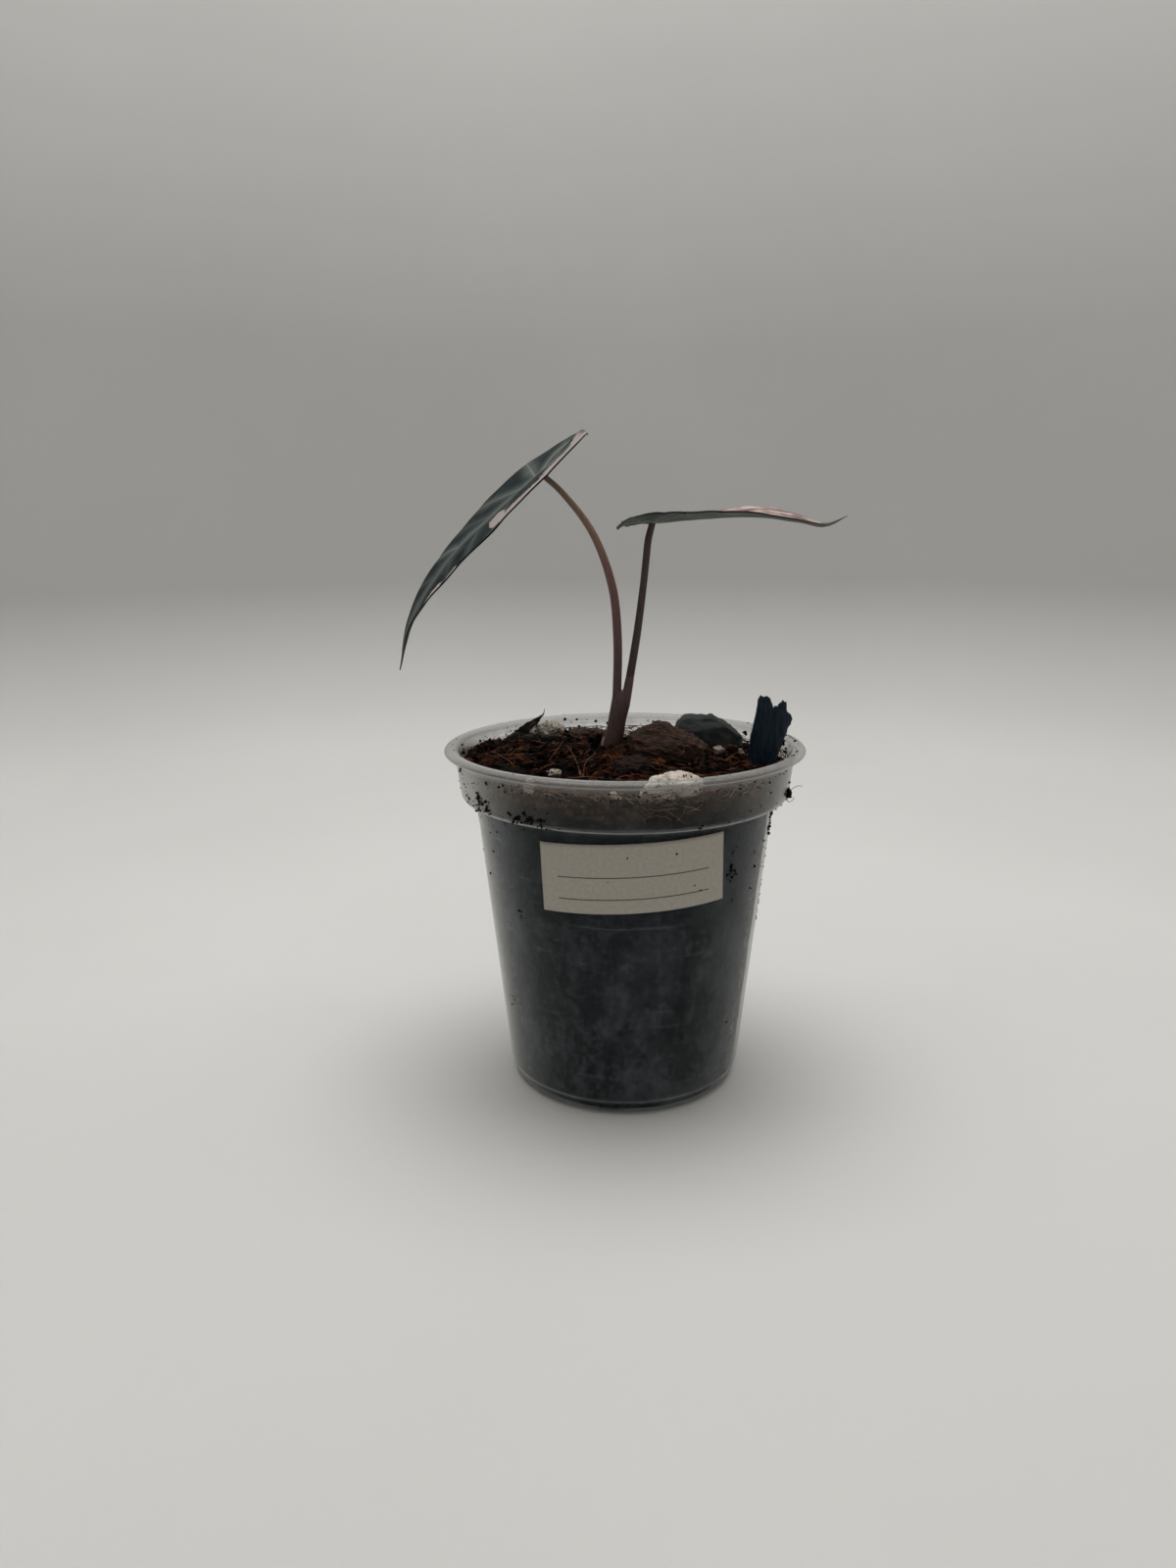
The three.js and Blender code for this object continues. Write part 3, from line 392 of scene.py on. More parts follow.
def clear_polypropylene(tree):
    """Clear moulded pot: see-through where thin, milky in the lip, the ledge and the heel."""
    # Heights as shares of 87 mm: heel 3.9, ledge 73.2 to 75, lip 84.5 to 87.
    band = along(tree, "Z", 0, 87)
    milk = [
        (0.0, 0.0), (0.04, 0.0), (0.046, 0.09), (0.052, 0.02), (0.835, 0.02), (0.848, 0.13),
        (0.862, 0.18), (0.87, 0.015), (0.962, 0.03), (0.974, 0.34), (0.985, 0.4), (1.0, 0.26),
    ]
    veil = add(tree, "ValToRGB", {"Fac": band}, milk)["Color"]
    # Handling haze and dried water: clouds 10 mm across with fine detail, stronger low down.
    spot = measured(tree, (1, 1, 0.7))
    _, haze = mottled(tree, spot, 10, 8, 0.74, [(0.45, 0), (0.69, 0.16)])
    low = add(tree, "ValToRGB", {"Fac": band}, [(0.05, 1), (0.75, 0.3)])["Color"]
    haze = add(tree, "Math", {0: haze, 1: low}, operation="MULTIPLY")[0]
    # Fine dust that clings all over, drawn 1.2 mm coarse, and rubbed scratches half a millimetre wide.
    _, powder = mottled(tree, spot, 1.2, 3, 0.7, [(0.48, 0), (0.7, 0.06)])
    lines = measured(tree, (0.05, 0.05, 1), (0.1, 0.15, 0))
    _, scratch = mottled(tree, lines, 0.9, 3, 0.5, [(0.62, 0), (0.72, 0.07)])
    # A wall seen at a slant passes less light: the milk rises to its silhouette.
    facing = add(tree, "LayerWeight", {"Blend": 0.5})["Facing"]
    slants = [
        (0.0, 0.014), (0.1, 0.018), (0.27, 0.04), (0.4, 0.12), (0.51, 0.23), (0.63, 0.37),
        (0.8, 0.64), (1.0, 1),
    ]
    slant = add(tree, "ValToRGB", {"Fac": facing}, slants)["Color"]
    # The collar is rubbed duller than the body and the lip, and painted light makes the left side milkier
    # than the right.
    rubs = [(0.845, 0.48), (0.875, 1.0), (0.962, 1.0), (0.975, 0.5)]
    rubbed = add(tree, "ValToRGB", {"Fac": band}, rubs)["Color"]
    for rub_and_side_light in (rubbed, along(tree, "X", -38, 38, 2.4, 1.2)):
        slant = add(tree, "Math", {0: slant, 1: rub_and_side_light}, operation="MULTIPLY")[0]
    for layer in (powder, haze, scratch):
        veil = add(tree, "Math", {0: veil, 1: layer}, operation="ADD")[0]
    veil = add(tree, "Math", {0: veil, 1: slant}, operation="ADD", use_clamp=True)[0]
    # The haze scatters blue where it is thin, and is neutral where it is thick and on the collar.
    tones = [(0.1, "#95a0a8"), (0.5, "#9fa6a8"), (0.85, "#b0afab")]
    tone = add(tree, "ValToRGB", {"Fac": facing}, tones)["Color"]
    on_collar = along(tree, "Z", 73, 77)
    tone = add(tree, "Mix", {0: on_collar, MIX_A: tone, MIX_B: linear("#a6a5a1")}, **BLEND)[MIXED]
    gloss = {"Base Color": tone, "Roughness": 0.28, "IOR": 1.49, "Alpha": veil}
    return add(tree, "BsdfPrincipled", gloss)["BSDF"]


def inner_polypropylene(tree):
    """Inner side of the clear wall: only its gloss and a little dust show."""
    _, dust = mottled(tree, measured(tree), 3, 5, 0.5, [(0.4, 0.14), (0.75, 0.36)])
    veil = add(tree, "Math", {0: dust, 1: along(tree, "Z", 81, 83.5)}, operation="MULTIPLY")[0]
    gloss = {"Base Color": linear("#9c958a"), "Roughness": 0.35, "IOR": 1.49, "Alpha": veil}
    return add(tree, "BsdfPrincipled", gloss)["BSDF"]


def label_paper(tree):
    """Matt uncoated label paper with two ruled lines, a faint fibre tone and rubbed-in dirt."""
    where = add(tree, "UVMap", {})["UV"]
    split = add(tree, "SeparateXYZ", {"Vector": where})
    ruled = 0
    for level in RULE_HEIGHTS:
        line = add(tree, "Math", {0: split["Y"], 1: level, 2: RULE_WIDTH / 2}, operation="COMPARE")[0]
        ruled = add(tree, "Math", {0: line, 1: ruled}, operation="ADD")[0]
    inner = add(tree, "Math", {0: split["X"], 1: 0, 2: RULE_HALF}, operation="COMPARE")[0]
    ruled = add(tree, "Math", {0: ruled, 1: inner}, operation="MULTIPLY")[0]
    # The paper's tones are greyed as painted shade, for its side that faces away from the light.
    fibre, tone = mottled(tree, where, 0.9, 5, 0.5, [(0.3, "#a9a297"), (0.7, "#b4aea4")])
    # Dirt specks 0.3 mm across.
    _, dirt = mottled(tree, where, 0.8, 3, 0.7, [(0.7, 0), (0.78, 0.7)])
    for spread, ink in ((ruled, "#5a5049"), (dirt, "#4a4038")):
        tone = add(tree, "Mix", {0: spread, MIX_A: tone, MIX_B: linear(ink)}, **BLEND)[MIXED]
    return dented(tree, tone, fibre, 0.3, 0.05, {"Roughness": 0.85})


def coir_dust(tree):
    """Top of the mix: crumbly wet coir dust, black in its gaps, with 2 mm rusty grains."""
    tones = [(0.35, "#020101"), (0.52, "#080504"), (0.64, "#180e09"), (0.76, "#382317")]
    grain, tone = mottled(tree, measured(tree), 1.8, 6, 0.7, tones)
    return dented(tree, tone, grain, 0.8, 0.6, {"Roughness": 0.95, SHINE: 0.05})


def pressed_mix(tree):
    """Side of the mix on the wall: dark and wet, mottled over 5 mm, rusty and drier in the collar, where its
    tones are lightened as painted light.
    """
    spot = measured(tree)
    mottle, wet = mottled(tree, spot, 5, 3, 0.6, [(0.35, "#050608"), (0.7, "#131315")])
    # Dry husk tones, painted lighter to make up for the light that the wall's shade takes away.
    husk_tones_painted_lighter = [(0.32, "#1e1611"), (0.5, "#463529"), (0.7, "#765744")]
    husk, dry_painted_lighter = mottled(tree, spot, 1.5, 4, 0.65, husk_tones_painted_lighter)
    # The dry band fades out from 84 mm down to 77 mm, unevenly.
    level = add(tree, "SeparateXYZ", {"Vector": spot})["Z"]
    uneven = add(tree, "Math", {0: mottle, 1: 7, 2: level}, operation="MULTIPLY_ADD")[0]
    up = add(tree, "MapRange", {"Value": uneven, "From Min": 80.5, "From Max": 87.5})["Result"]
    tone = add(tree, "Mix", {0: up, MIX_A: wet, MIX_B: dry_painted_lighter}, **BLEND)[MIXED]
    return dented(tree, tone, husk, 0.4, 0.3, {"Roughness": 0.9, SHINE: 0.1})


def coir(dark, pale):
    """A coir finish between two tones: dull husk fibre, streaked over a few millimetres."""
    def build(tree):
        spot = measured(tree)
        _, tone = mottled(tree, spot, 2.4, 5, 0.65, [(0.35, dark), (0.65, pale)])
        fine = add(tree, "TexNoise", {"Vector": spot, "Scale": 1 / 0.35, "Detail": 3})["Fac"]
        return dented(tree, tone, fine, 0.6, 0.15, {"Roughness": 0.85, SHINE: 0.08})
    return build


def bark_skin(*tones):
    """Pine bark chip: corky layers a millimetre apart with black cracks, in four tones."""
    def build(tree):
        spot = measured(tree, (1, 1, 2.4), (0.2, 0.25, 0))
        wavy = {"Vector": spot, "Scale": 0.42, "Distortion": 7, "Detail": 4, "Detail Scale": 0.25}
        layers = add(tree, "TexWave", wavy, wave_type="BANDS", bands_direction="Z")["Fac"]
        corky = {"Vector": spot, "Scale": 1 / 2.2, "Detail": 9, "Roughness": 0.68}
        cork = add(tree, "TexNoise", corky)["Fac"]
        both = add(tree, "Math", {0: layers, 1: 0.35, 2: cork}, operation="MULTIPLY_ADD")[0]
        stops = list(zip((0.46, 0.58, 0.74, 0.94), tones))
        tone = add(tree, "ValToRGB", {"Fac": both}, stops)["Color"]
        # Painted shade: its foot is darkened where the mix shades it, and it is wet there as well.
        painted_foot_shade = along(tree, "Z", 81, 84.5, 0.6)
        tone = add(tree, "Mix", {0: 1.0, MIX_A: tone, MIX_B: painted_foot_shade}, **TIMES)[MIXED]
        return dented(tree, tone, both, 1, 0.5, {"Roughness": 0.82, SHINE: 0.25})
    return build


def lump_charcoal(tree):
    """Tumbled charcoal: near-black green-grey and worn smooth, with painted shade that darkens its top."""
    tones = [(0.35, "#222828"), (0.6, "#333a39"), (0.8, "#404645")]
    worn, tone = mottled(tree, measured(tree), 3.5, 7, 0.6, tones)
    # Painted shade: faces that point up are darkened, down to half their tone.
    up = add(tree, "SeparateXYZ", {"Vector": add(tree, "NewGeometry", {})["Normal"]})["Z"]
    top = add(tree, "MapRange", {"Value": up, "From Max": 0.8, "To Min": 1, "To Max": 0.5})["Result"]
    tone = add(tree, "Mix", {0: 1.0, MIX_A: tone, MIX_B: top}, **TIMES)[MIXED]
    return dented(tree, tone, worn, 0.7, 0.5, {"Roughness": 0.7, SHINE: 0.3})


def split_charcoal(tree):
    """Fresh split of charcoal: blue-black, its wood grain half a millimetre apart."""
    spot = measured(tree, (1, 1, 0.09), (0, -0.25, 0))
    tones = [(0.3, "#061018"), (0.55, "#0f2433"), (0.8, "#203b4c")]
    grain, tone = mottled(tree, spot, 0.55, 5, 0.6, tones)
    return dented(tree, tone, grain, 0.8, 0.35, {"Roughness": 0.5, SHINE: 0.25})


def stone(pale, shade, pitted=0.75):
    """Pumice or perlite: a pale glassy foam with dark pits and mix caught in them."""
    def build(tree):
        spot = measured(tree)
        foam, tone = mottled(tree, spot, 1.3, 8, 0.7, [(0.32, shade), (0.55, pale)])
        pits = add(tree, "TexVoronoi", {"Vector": spot, "Scale": 1 / 0.7, "Randomness": 1})["Distance"]
        hole = add(tree, "ValToRGB", {"Fac": pits}, [(0.09, pitted), (0.2, 0)])["Color"]
        tone = add(tree, "Mix", {0: hole, MIX_A: tone, MIX_B: linear("#2e2420")}, **BLEND)[MIXED]
        relief = add(tree, "Math", {0: foam, 1: hole}, operation="SUBTRACT")[0]
        return dented(tree, tone, relief, 0.8, 0.35, {"Roughness": 0.9})
    return build


def blade_tones(tree, greens, vein_tone, dusky, pink, patch_strength, grain):
    """Leaf colour and relief from its vein and blush attributes, with ragged edges on the pink."""
    place = add(tree, "UVMap", {})["UV"]
    vein = add(tree, "Attribute", {}, attribute_name="vein")["Fac"]
    blush = add(tree, "Attribute", {}, attribute_name="blush")["Fac"]
    # Broad dark and pale fields with fine grain in them.
    spot = add(tree, "Mapping", {"Vector": place, "Scale": grain})["Vector"]
    mottle, tone = mottled(tree, spot, 1, 7, 0.62, greens)
    tone = add(tree, "Mix", {0: vein, MIX_A: tone, MIX_B: linear(vein_tone)}, **BLEND)[MIXED]
    ragged = add(tree, "TexNoise", {"Vector": place, "Scale": 1 / 1.6, "Detail": 6, "Roughness": 0.75})["Fac"]
    edge = add(tree, "Math", {0: ragged, 1: 0.9, 2: blush}, operation="MULTIPLY_ADD")[0]
    patch = add(tree, "ValToRGB", {"Fac": edge}, [(0.62, 0), (0.66, patch_strength)])["Color"]
    # The pink is streaked along the blade, 6 mm long and a millimetre wide.
    streaks = add(tree, "Mapping", {"Vector": place, "Scale": (1 / 6, 1, 1)})["Vector"]
    _, pinks = mottled(tree, streaks, 1, 5, 0.7, [(0.42, dusky), (0.58, pink)])
    tone = add(tree, "Mix", {0: patch, MIX_A: tone, MIX_B: pinks}, **BLEND)[MIXED]
    return tone, add(tree, "Math", {0: mottle, 1: 0.25, 2: vein}, operation="MULTIPLY_ADD")[0]


def blade_face(dusky, pink):
    """Upper face of a leaf: waxy slate, sunken pale olive veins and dull pink patches."""
    def build(tree):
        greens = [(0.36, "#060e12"), (0.52, "#121e22"), (0.72, "#304042")]
        tone, relief = blade_tones(tree, greens, "#848b85", dusky, pink, 0.95, (1 / 7, 1 / 4, 1))
        return dented(tree, tone, relief, 0.5, -0.15, {"Roughness": 0.55, SHINE: 0.1})
    return build


def blade_back(tree):
    """Underside of the leaf: matt grey-green, streaked along its length, with a dark margin."""
    greens = [(0.38, "#090c0a"), (0.5, "#1f231e"), (0.63, "#4f564e")]
    tone, relief = blade_tones(tree, greens, "#838b84", "#6f5f5a", "#9a8681", 0.4, (1 / 7, 0.8, 1))
    margin = add(tree, "Attribute", {}, attribute_name="edge")["Fac"]
    tone = add(tree, "Mix", {0: margin, MIX_A: tone, MIX_B: linear("#10130f")}, **BLEND)[MIXED]
    return dented(tree, tone, relief, 0.6, 0.2, {"Roughness": 0.6, SHINE: 0.25})


def petiole_skin(tones):
    """Smooth waxy stalk, its tone changing with height from the mix to the leaf."""
    def build(tree):
        base = add(tree, "ValToRGB", {"Fac": along(tree, "Z", 80, 155)}, tones)["Color"]
        spot = measured(tree, (1, 1, 0.12))
        streak, shade = mottled(tree, spot, 0.45, 4, 0.5, [(0.35, 0.72), (0.65, 1.0)])
        tone = add(tree, "Mix", {0: 1.0, MIX_A: base, MIX_B: shade}, **TIMES)[MIXED]
        return dented(tree, tone, streak, 0.5, 0.12, {"Roughness": 0.45, "IOR": 1.42})
    return build


def corm_skin(tree):
    """Corm and roots: pale brown papery skin with rings 1.5 mm apart."""
    spot = measured(tree, (1, 1, 3))
    rings, tone = mottled(tree, spot, 3, 5, 0.5, [(0.35, "#6b543b"), (0.65, "#b59b78")])
    return dented(tree, tone, rings, 0.5, 0.3, {"Roughness": 0.8})


def studio_paper(tree):
    """Background paper: matt and pale, with painted shade that greys it up the wall and lets it pale again
    near its top.
    """
    _, pale = mottled(tree, measured(tree), 160, 3, 0.5, [(0.3, "#cccbc8"), (0.7, "#d0cfcc")])
    # Painted shade: the paper darkens up the wall, most between 100 and 250 mm up, and is pale again from 475
    # mm.
    painted_shades = [(0, 1.0), (0.05, 0.9), (0.2, 0.72), (0.5, 0.7), (0.95, 1.0)]
    shade = add(tree, "ValToRGB", {"Fac": along(tree, "Z", 0, 500)}, painted_shades)["Color"]
    tone = add(tree, "Mix", {0: 1.0, MIX_A: pale, MIX_B: shade}, **TIMES)[MIXED]
    return add(tree, "BsdfPrincipled", {"Base Color": tone, "Roughness": 0.9})["BSDF"]


POT_CLEAR = finish("clear_moulded_polypropylene", clear_polypropylene)
POT_INNER = finish("clear_polypropylene_inner_face", inner_polypropylene)
PAPER = finish("uncoated_label_paper", label_paper)
DUST = finish("wet_coir_dust", coir_dust)
PRESSED = finish("coir_pressed_on_the_wall", pressed_mix)
UMBER_COIR = finish("umber_coir_fibre", coir("#070403", "#1c100a"))
RUST_COIR = finish("rust_coir_fibre", coir("#2a130b", "#643a26"))
TAN_COIR = finish("tan_coir_fibre", coir("#5f412f", "#947257"))
# Pale chips, painted lighter as painted light for the ones that the collar shades.
PALE_CHIP = finish("pale_chip", stone("#c2b5a6", "#8d7f72"))
# Rust and tan coir painted lighter, as painted light for the fibres pressed on the wall, which the wall
# shades.
RUST_COIR_PAINTED_LIGHTER = finish("rust_coir_fibre_painted_lighter", coir("#49301f", "#82604a"))
TAN_COIR_PAINTED_LIGHTER = finish("tan_coir_fibre_painted_lighter", coir("#7c6757", "#ad9782"))
EARTH = finish("earthy_coir", coir("#150b07", "#432a1b"))
BLACK_CRUMB = finish("black_coir_crumb", coir("#040302", "#100a07"))
BARK = finish("pine_bark_chip", bark_skin("#130c09", "#322118", "#452f23", "#5d4333"))
RED_BARK = finish("red_inner_bark", bark_skin("#060201", "#130805", "#240f0a", "#361c14"))
WEATHERED_BARK = finish("weathered_bark", bark_skin("#090706", "#1c1816", "#312a27", "#4c433e"))
LUMP_CHARCOAL = finish("tumbled_charcoal", lump_charcoal)
SPLIT_CHARCOAL = finish("split_charcoal", split_charcoal)
# One pumice in two copies: painted darker for the back stone, and painted lighter for the front stone, which
# the lip shades.
PUMICE = finish("pumice_painted_darker", stone("#a0978a", "#574e45"))
PUMICE_PAINTED_LIGHTER = finish("pumice_painted_lighter", stone("#cfc5b6", "#8d8275"))
PERLITE_WHITE = finish("expanded_perlite", stone("#b0a599", "#675d53", 0.35))
OLD_FACE = finish("older_leaf_upper_face", blade_face("#a29692", "#b1a5a1"))
YOUNG_FACE = finish("younger_leaf_upper_face", blade_face("#6a514b", "#c8b4ad"))
LEAF_BACK = finish("variegated_leaf_underside", blade_back)
OLD_SKIN = finish(
    "older_petiole_skin",
    petiole_skin([
        (0, "#432f2b"), (0.12, "#533e3c"), (0.3, "#5f4949"), (0.6, "#7a5651"), (0.8, "#866858"),
        (0.92, "#7c6756"), (1, "#5f544a"),
    ]),
)
# The younger stalk's tones are darker as painted shade, for its less lit place.
YOUNG_SKIN = finish("younger_petiole_skin", petiole_skin([(0, "#34252a"), (0.25, "#4a3439"), (1, "#4d3d40")]))
CORM_SKIN = finish("corm_papery_skin", corm_skin)
STUDIO = finish("seamless_studio_paper", studio_paper)

# Lumps with a finish of their own.
SPECIAL = {"bark_chip_front": RED_BARK, "bark_chip_small": RED_BARK, "pumice_front": PUMICE_PAINTED_LIGHTER}
# Husk flakes as [tone, finish, count, greatest half length, seed].
FLAKES = [
    ("black", BLACK_CRUMB, 240, 2.2, 30), ("umber", UMBER_COIR, 330, 2.6, 31),
    ("rust", RUST_COIR, 190, 1.9, 32),
]
# Coir fibres on the mix as [tone, finish, share, seed, radius], and on the wall without a seed.
FIBRES = [
    ("umber", UMBER_COIR, 0.36, 41, 0.15), ("rust", RUST_COIR, 0.5, 42, 0.13),
    ("tan", TAN_COIR, 0.14, 43, 0.08),
]
PRESSED_FIBRES = [
    ("rust", RUST_COIR_PAINTED_LIGHTER, 0.65, 0.11), ("tan", TAN_COIR_PAINTED_LIGHTER, 0.13, 0.08), ("umber", UMBER_COIR, 0.22, 0.12),
]
# Bits seen one by one, as [finish, place, half size, turn].
BITS = [
    (PALE_CHIP, (-21.3, -35.2, 83.5), (1.35, 0.12, 1.05), (0, 0.1, -0.55)),
    (PALE_CHIP, (-1.8, -41.1, 83), (1.3, 0.1, 0.45), (0, 0.2, 0)),
    (PALE_CHIP, (-24.9, 24, 85.8), (0.22, 0.15, 1.3), (0, 0.75, 0)),
    (PALE_CHIP, (-5.5, 3.6, 86.3), (0.3, 0.25, 1.2), (0, 0.25, 0)),
    (BLACK_CRUMB, (-7.6, 3, 85.2), (0.85, 0.5, 3.2), (0, 0.42, 0)),
    (BLACK_CRUMB, (-8.6, 7, 86.3), (0.8, 0.6, 0.7), (0.2, 0.3, 0.4)),
    (WEATHERED_BARK, (-30.6, 22.6, 83.3), (2.5, 0.7, 1.2), (0.1, -0.6, 0.1)),
    (WEATHERED_BARK, (-25.5, 21.5, 83.6), (2.4, 0.7, 1.3), (0, -0.3, 0)),
    (WEATHERED_BARK, (-19, 21.5, 83.4), (3.6, 0.8, 1.3), (0, 0.1, 0.1)),
    (EARTH, (-31.2, 23.6, 82.4), (1.4, 1, 1.8), (0, 0.3, 0)),
    (EARTH, (27.5, 5, 84), (1.6, 1, 1.2), (0, 0.3, 0)),
    (BLACK_CRUMB, (-29.5, -11.5, 83.3), (3, 0.8, 0.3), (0.3, 0, -0.7)),
    (BLACK_CRUMB, (-26.2, -17.2, 83.4), (3.2, 0.8, 0.3), (0.4, 0, -0.5)),
]


# Shapes shared by pieces

def bumps(x, y, z, seed):
    """A smooth bumpy value between about -1 and 1 that depends only on the place."""
    a = math.sin(1.7 * x + 2.3 * y + 0.9 * z + seed)
    b = math.sin(2.9 * y - 1.9 * z + 1.3 * x + 2.1 * seed)
    c = math.sin(3.1 * z + 2.2 * x - 1.4 * y + 3.7 * seed)
    return (a + b + c + a * b) / 3


def on_course(points, t):
    """The point at share t of a centripetal spline through points."""
    spans = len(points) - 1
    i = min(int(t * spans), spans - 1)
    w = t * spans - i
    p1, p2 = Vector(points[i]), Vector(points[i + 1])
    p0 = Vector(points[i - 1]) if i else 2 * p1 - p2
    p3 = Vector(points[i + 2]) if i + 2 <= spans else 2 * p2 - p1
    d0, d1, d2 = (math.sqrt((b - a).length) for a, b in ((p0, p1), (p1, p2), (p2, p3)))
    t1 = ((p1 - p0) / d0 - (p2 - p0) / (d0 + d1) + (p2 - p1) / d1) * d1
    t2 = ((p2 - p1) / d1 - (p3 - p1) / (d1 + d2) + (p3 - p2) / d2) * d1
    return p1 + t1 * w + (3 * (p2 - p1) - 2 * t1 - t2) * w ** 2 + (2 * (p1 - p2) + t1 + t2) * w ** 3


def read_at(table, place, column=1):
    """A table's value at a place, on a smooth curve through its rows."""
    rows = [row[0] for row in table]
    i = min(max(bisect.bisect_left(rows, place), 1), len(table) - 1)
    (x0, y0), (x1, y1) = ((row[0], row[column]) for row in (table[i - 1], table[i]))
    before = table[max(i - 2, 0)]
    after = table[min(i + 1, len(table) - 1)]
    m0 = (y1 - before[column]) / (x1 - before[0])
    m1 = (after[column] - y0) / (after[0] - x0)
    w = min(max((place - x0) / (x1 - x0), 0), 1)
    step = 3 * w ** 2 - 2 * w ** 3
    bend = (x1 - x0) * (m0 * w * (1 - w) ** 2 - m1 * w ** 2 * (1 - w))
    return y0 + (y1 - y0) * step + bend


def rounded(profile, radius, steps=4):
    """A profile with each corner replaced by an arc of about the radius."""
    smooth = [profile[0]]
    for before, corner, after in zip(profile, profile[1:], profile[2:]):
        at = Vector(corner)
        first, second = Vector(before) - at, Vector(after) - at
        start = at + first.normalized() * min(radius, first.length * 0.45)
        end = at + second.normalized() * min(radius, second.length * 0.45)
        for i in range(steps + 1):
            w = i / steps
            smooth.append(tuple((1 - w) ** 2 * start + 2 * w * (1 - w) * at + w ** 2 * end))
    return [*smooth, profile[-1]]


def inside(profile, distance):
    """A profile moved square to itself, towards the pot's axis."""
    moved = []
    for i, point in enumerate(profile):
        before, after = profile[max(i - 1, 0)], profile[min(i + 1, len(profile) - 1)]
        ahead = (Vector(point) - Vector(before)).normalized() + (Vector(after) - Vector(point)).normalized()
        ahead.normalize()
        moved.append((max(point[0] - ahead.y * distance, 0), point[1] + ahead.x * distance))
    return [(0, moved[0][1]), *moved[1:]]


def spun(bm, profile, segments):
    """Spins a profile of [radius, height] about the Z axis."""
    verts = [bm.verts.new((r, 0, z)) for r, z in profile]
    edges = [bm.edges.new(pair) for pair in zip(verts, verts[1:])]
    bmesh.ops.spin(
        bm, geom=verts + edges, cent=(0, 0, 0), axis=(0, 0, 1),
        angle=2 * math.pi, steps=segments, use_merge=True,
    )
    bmesh.ops.remove_doubles(bm, verts=bm.verts, dist=1e-4)


def placed(name, data):
    """A new object in the scene that shows a mesh, curve, light or camera."""
    thing = bpy.data.objects.new(name, data)
    bpy.context.scene.collection.objects.link(thing)
    return thing


def applied(thing):
    """The mesh that an object's modifiers or its curve's bevel make."""
    return bpy.data.meshes.new_from_object(thing.evaluated_get(bpy.context.evaluated_depsgraph_get()))


def in_metres(name, bm, *finishes):
    """A mesh in metres from a bmesh in millimetres, which is used up."""
    bmesh.ops.scale(bm, vec=(MM, MM, MM), verts=bm.verts)
    mesh = bpy.data.meshes.new(name)
    bm.to_mesh(mesh)
    bm.free()
    for made in finishes:
        mesh.materials.append(made)
    return mesh


def piece(name, bm, finishes, slot, *nodes, crease=None):
    """Makes a bmesh in millimetres a piece of the part, in place of the named nodes."""
    mesh = in_metres(name, bm, *finishes)
    mesh.shade_smooth()
    if crease:
        mesh.set_sharp_from_angle(angle=crease)
    thing = placed(name, mesh)
    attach(thing, "root")
    if nodes:
        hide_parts(*nodes)
    return thing


def tapered(points, steps, full, taper):
    """A course through points, as read by strands, that is full at its start and thins to its end."""
    return [(on_course(points, i / steps), full - taper * i / steps) for i in range(steps + 1)]


def strands(bm, courses, depth, sides=4):
    """Adds thin closed tubes, each along its own [point, share of the depth] course."""
    curve = bpy.data.curves.new("strands", "CURVE")
    curve.dimensions = "3D"
    curve.bevel_depth = depth
    curve.bevel_resolution = (sides - 4) // 2
    curve.use_fill_caps = True
    for course in courses:
        spline = curve.splines.new("POLY")
        spline.points.add(len(course) - 1)
        for spot, (point, share) in zip(spline.points, course):
            spot.co = (*point, 1)
            spot.radius = share
    holder = placed("strands", curve)
    mesh = applied(holder)
    bm.from_mesh(mesh)
    bpy.data.objects.remove(holder)
    bpy.data.meshes.remove(mesh)
    bpy.data.curves.remove(curve)
    bmesh.ops.remove_doubles(bm, verts=bm.verts, dist=1e-5)
    bmesh.ops.recalc_face_normals(bm, faces=bm.faces)


# Pot

def wall_radius(level):
    """The radius of the pot's outside at a height from its heel up."""
    outline = POT_OUTSIDE[8:] + POT_LIP[:3]
    i = min(max(bisect.bisect_left([z for _, z in outline], level), 1), len(outline) - 1)
    (r0, z0), (r1, z1) = outline[i - 1], outline[i]
    return r0 + (r1 - r0) * min(max((level - z0) / (z1 - z0), 0), 1)


def on_wall(angle, level, out=0.0):
    """A point on the pot's outside, or that far out from it."""
    r = wall_radius(level) + out
    return Vector((r * math.sin(angle), -r * math.cos(angle), level))


def make_pot():
    """The pot: clear outside, and only glossy inside, so that its wall is veiled once."""
    outside = rounded([*POT_OUTSIDE, *POT_LIP], 0.5)
    wall = inside(POT_OUTSIDE, WALL)
    profile = [*outside, *rounded(wall[::-1], 0.4)]
    bm = bmesh.new()
    spun(bm, profile, POT_SEGMENTS)
    bmesh.ops.recalc_face_normals(bm, faces=bm.faces)
    for face in bm.faces:
        middle = face.calc_center_median()
        inward = face.normal.dot(Vector((middle.x, middle.y, 0)).normalized()) < -0.3
        face.material_index = 1 if inward and middle.z < COLLAR_TOP[1] + 1.5 else 0
    drill_holes(piece("clear_pot", bm, [POT_CLEAR, POT_INNER], "clear_plastic", "pot"))


def drill_holes(pot):
    """Cuts the ring of drain holes through the base."""
    bm = bmesh.new()
    for i in range(DRAIN_HOLES):
        a = 2 * math.pi * (i + 0.5) / DRAIN_HOLES
        place = Matrix.Translation((DRAIN_CIRCLE * math.cos(a), DRAIN_CIRCLE * math.sin(a), 1))
        bmesh.ops.create_cone(
            bm, cap_ends=True, segments=32, radius1=DRAIN_RADIUS, radius2=DRAIN_RADIUS, depth=8, matrix=place
        )
    mesh = in_metres("drill", bm)
    drill = placed("drill", mesh)
    cut = pot.modifiers.new("drain_holes", "BOOLEAN")
    cut.object = drill
    cut.operation = "DIFFERENCE"
    cut.solver = "EXACT"
    whole = applied(pot)
    pot.modifiers.clear()
    pot.data = whole
    bpy.data.objects.remove(drill)
    bpy.data.meshes.remove(mesh)


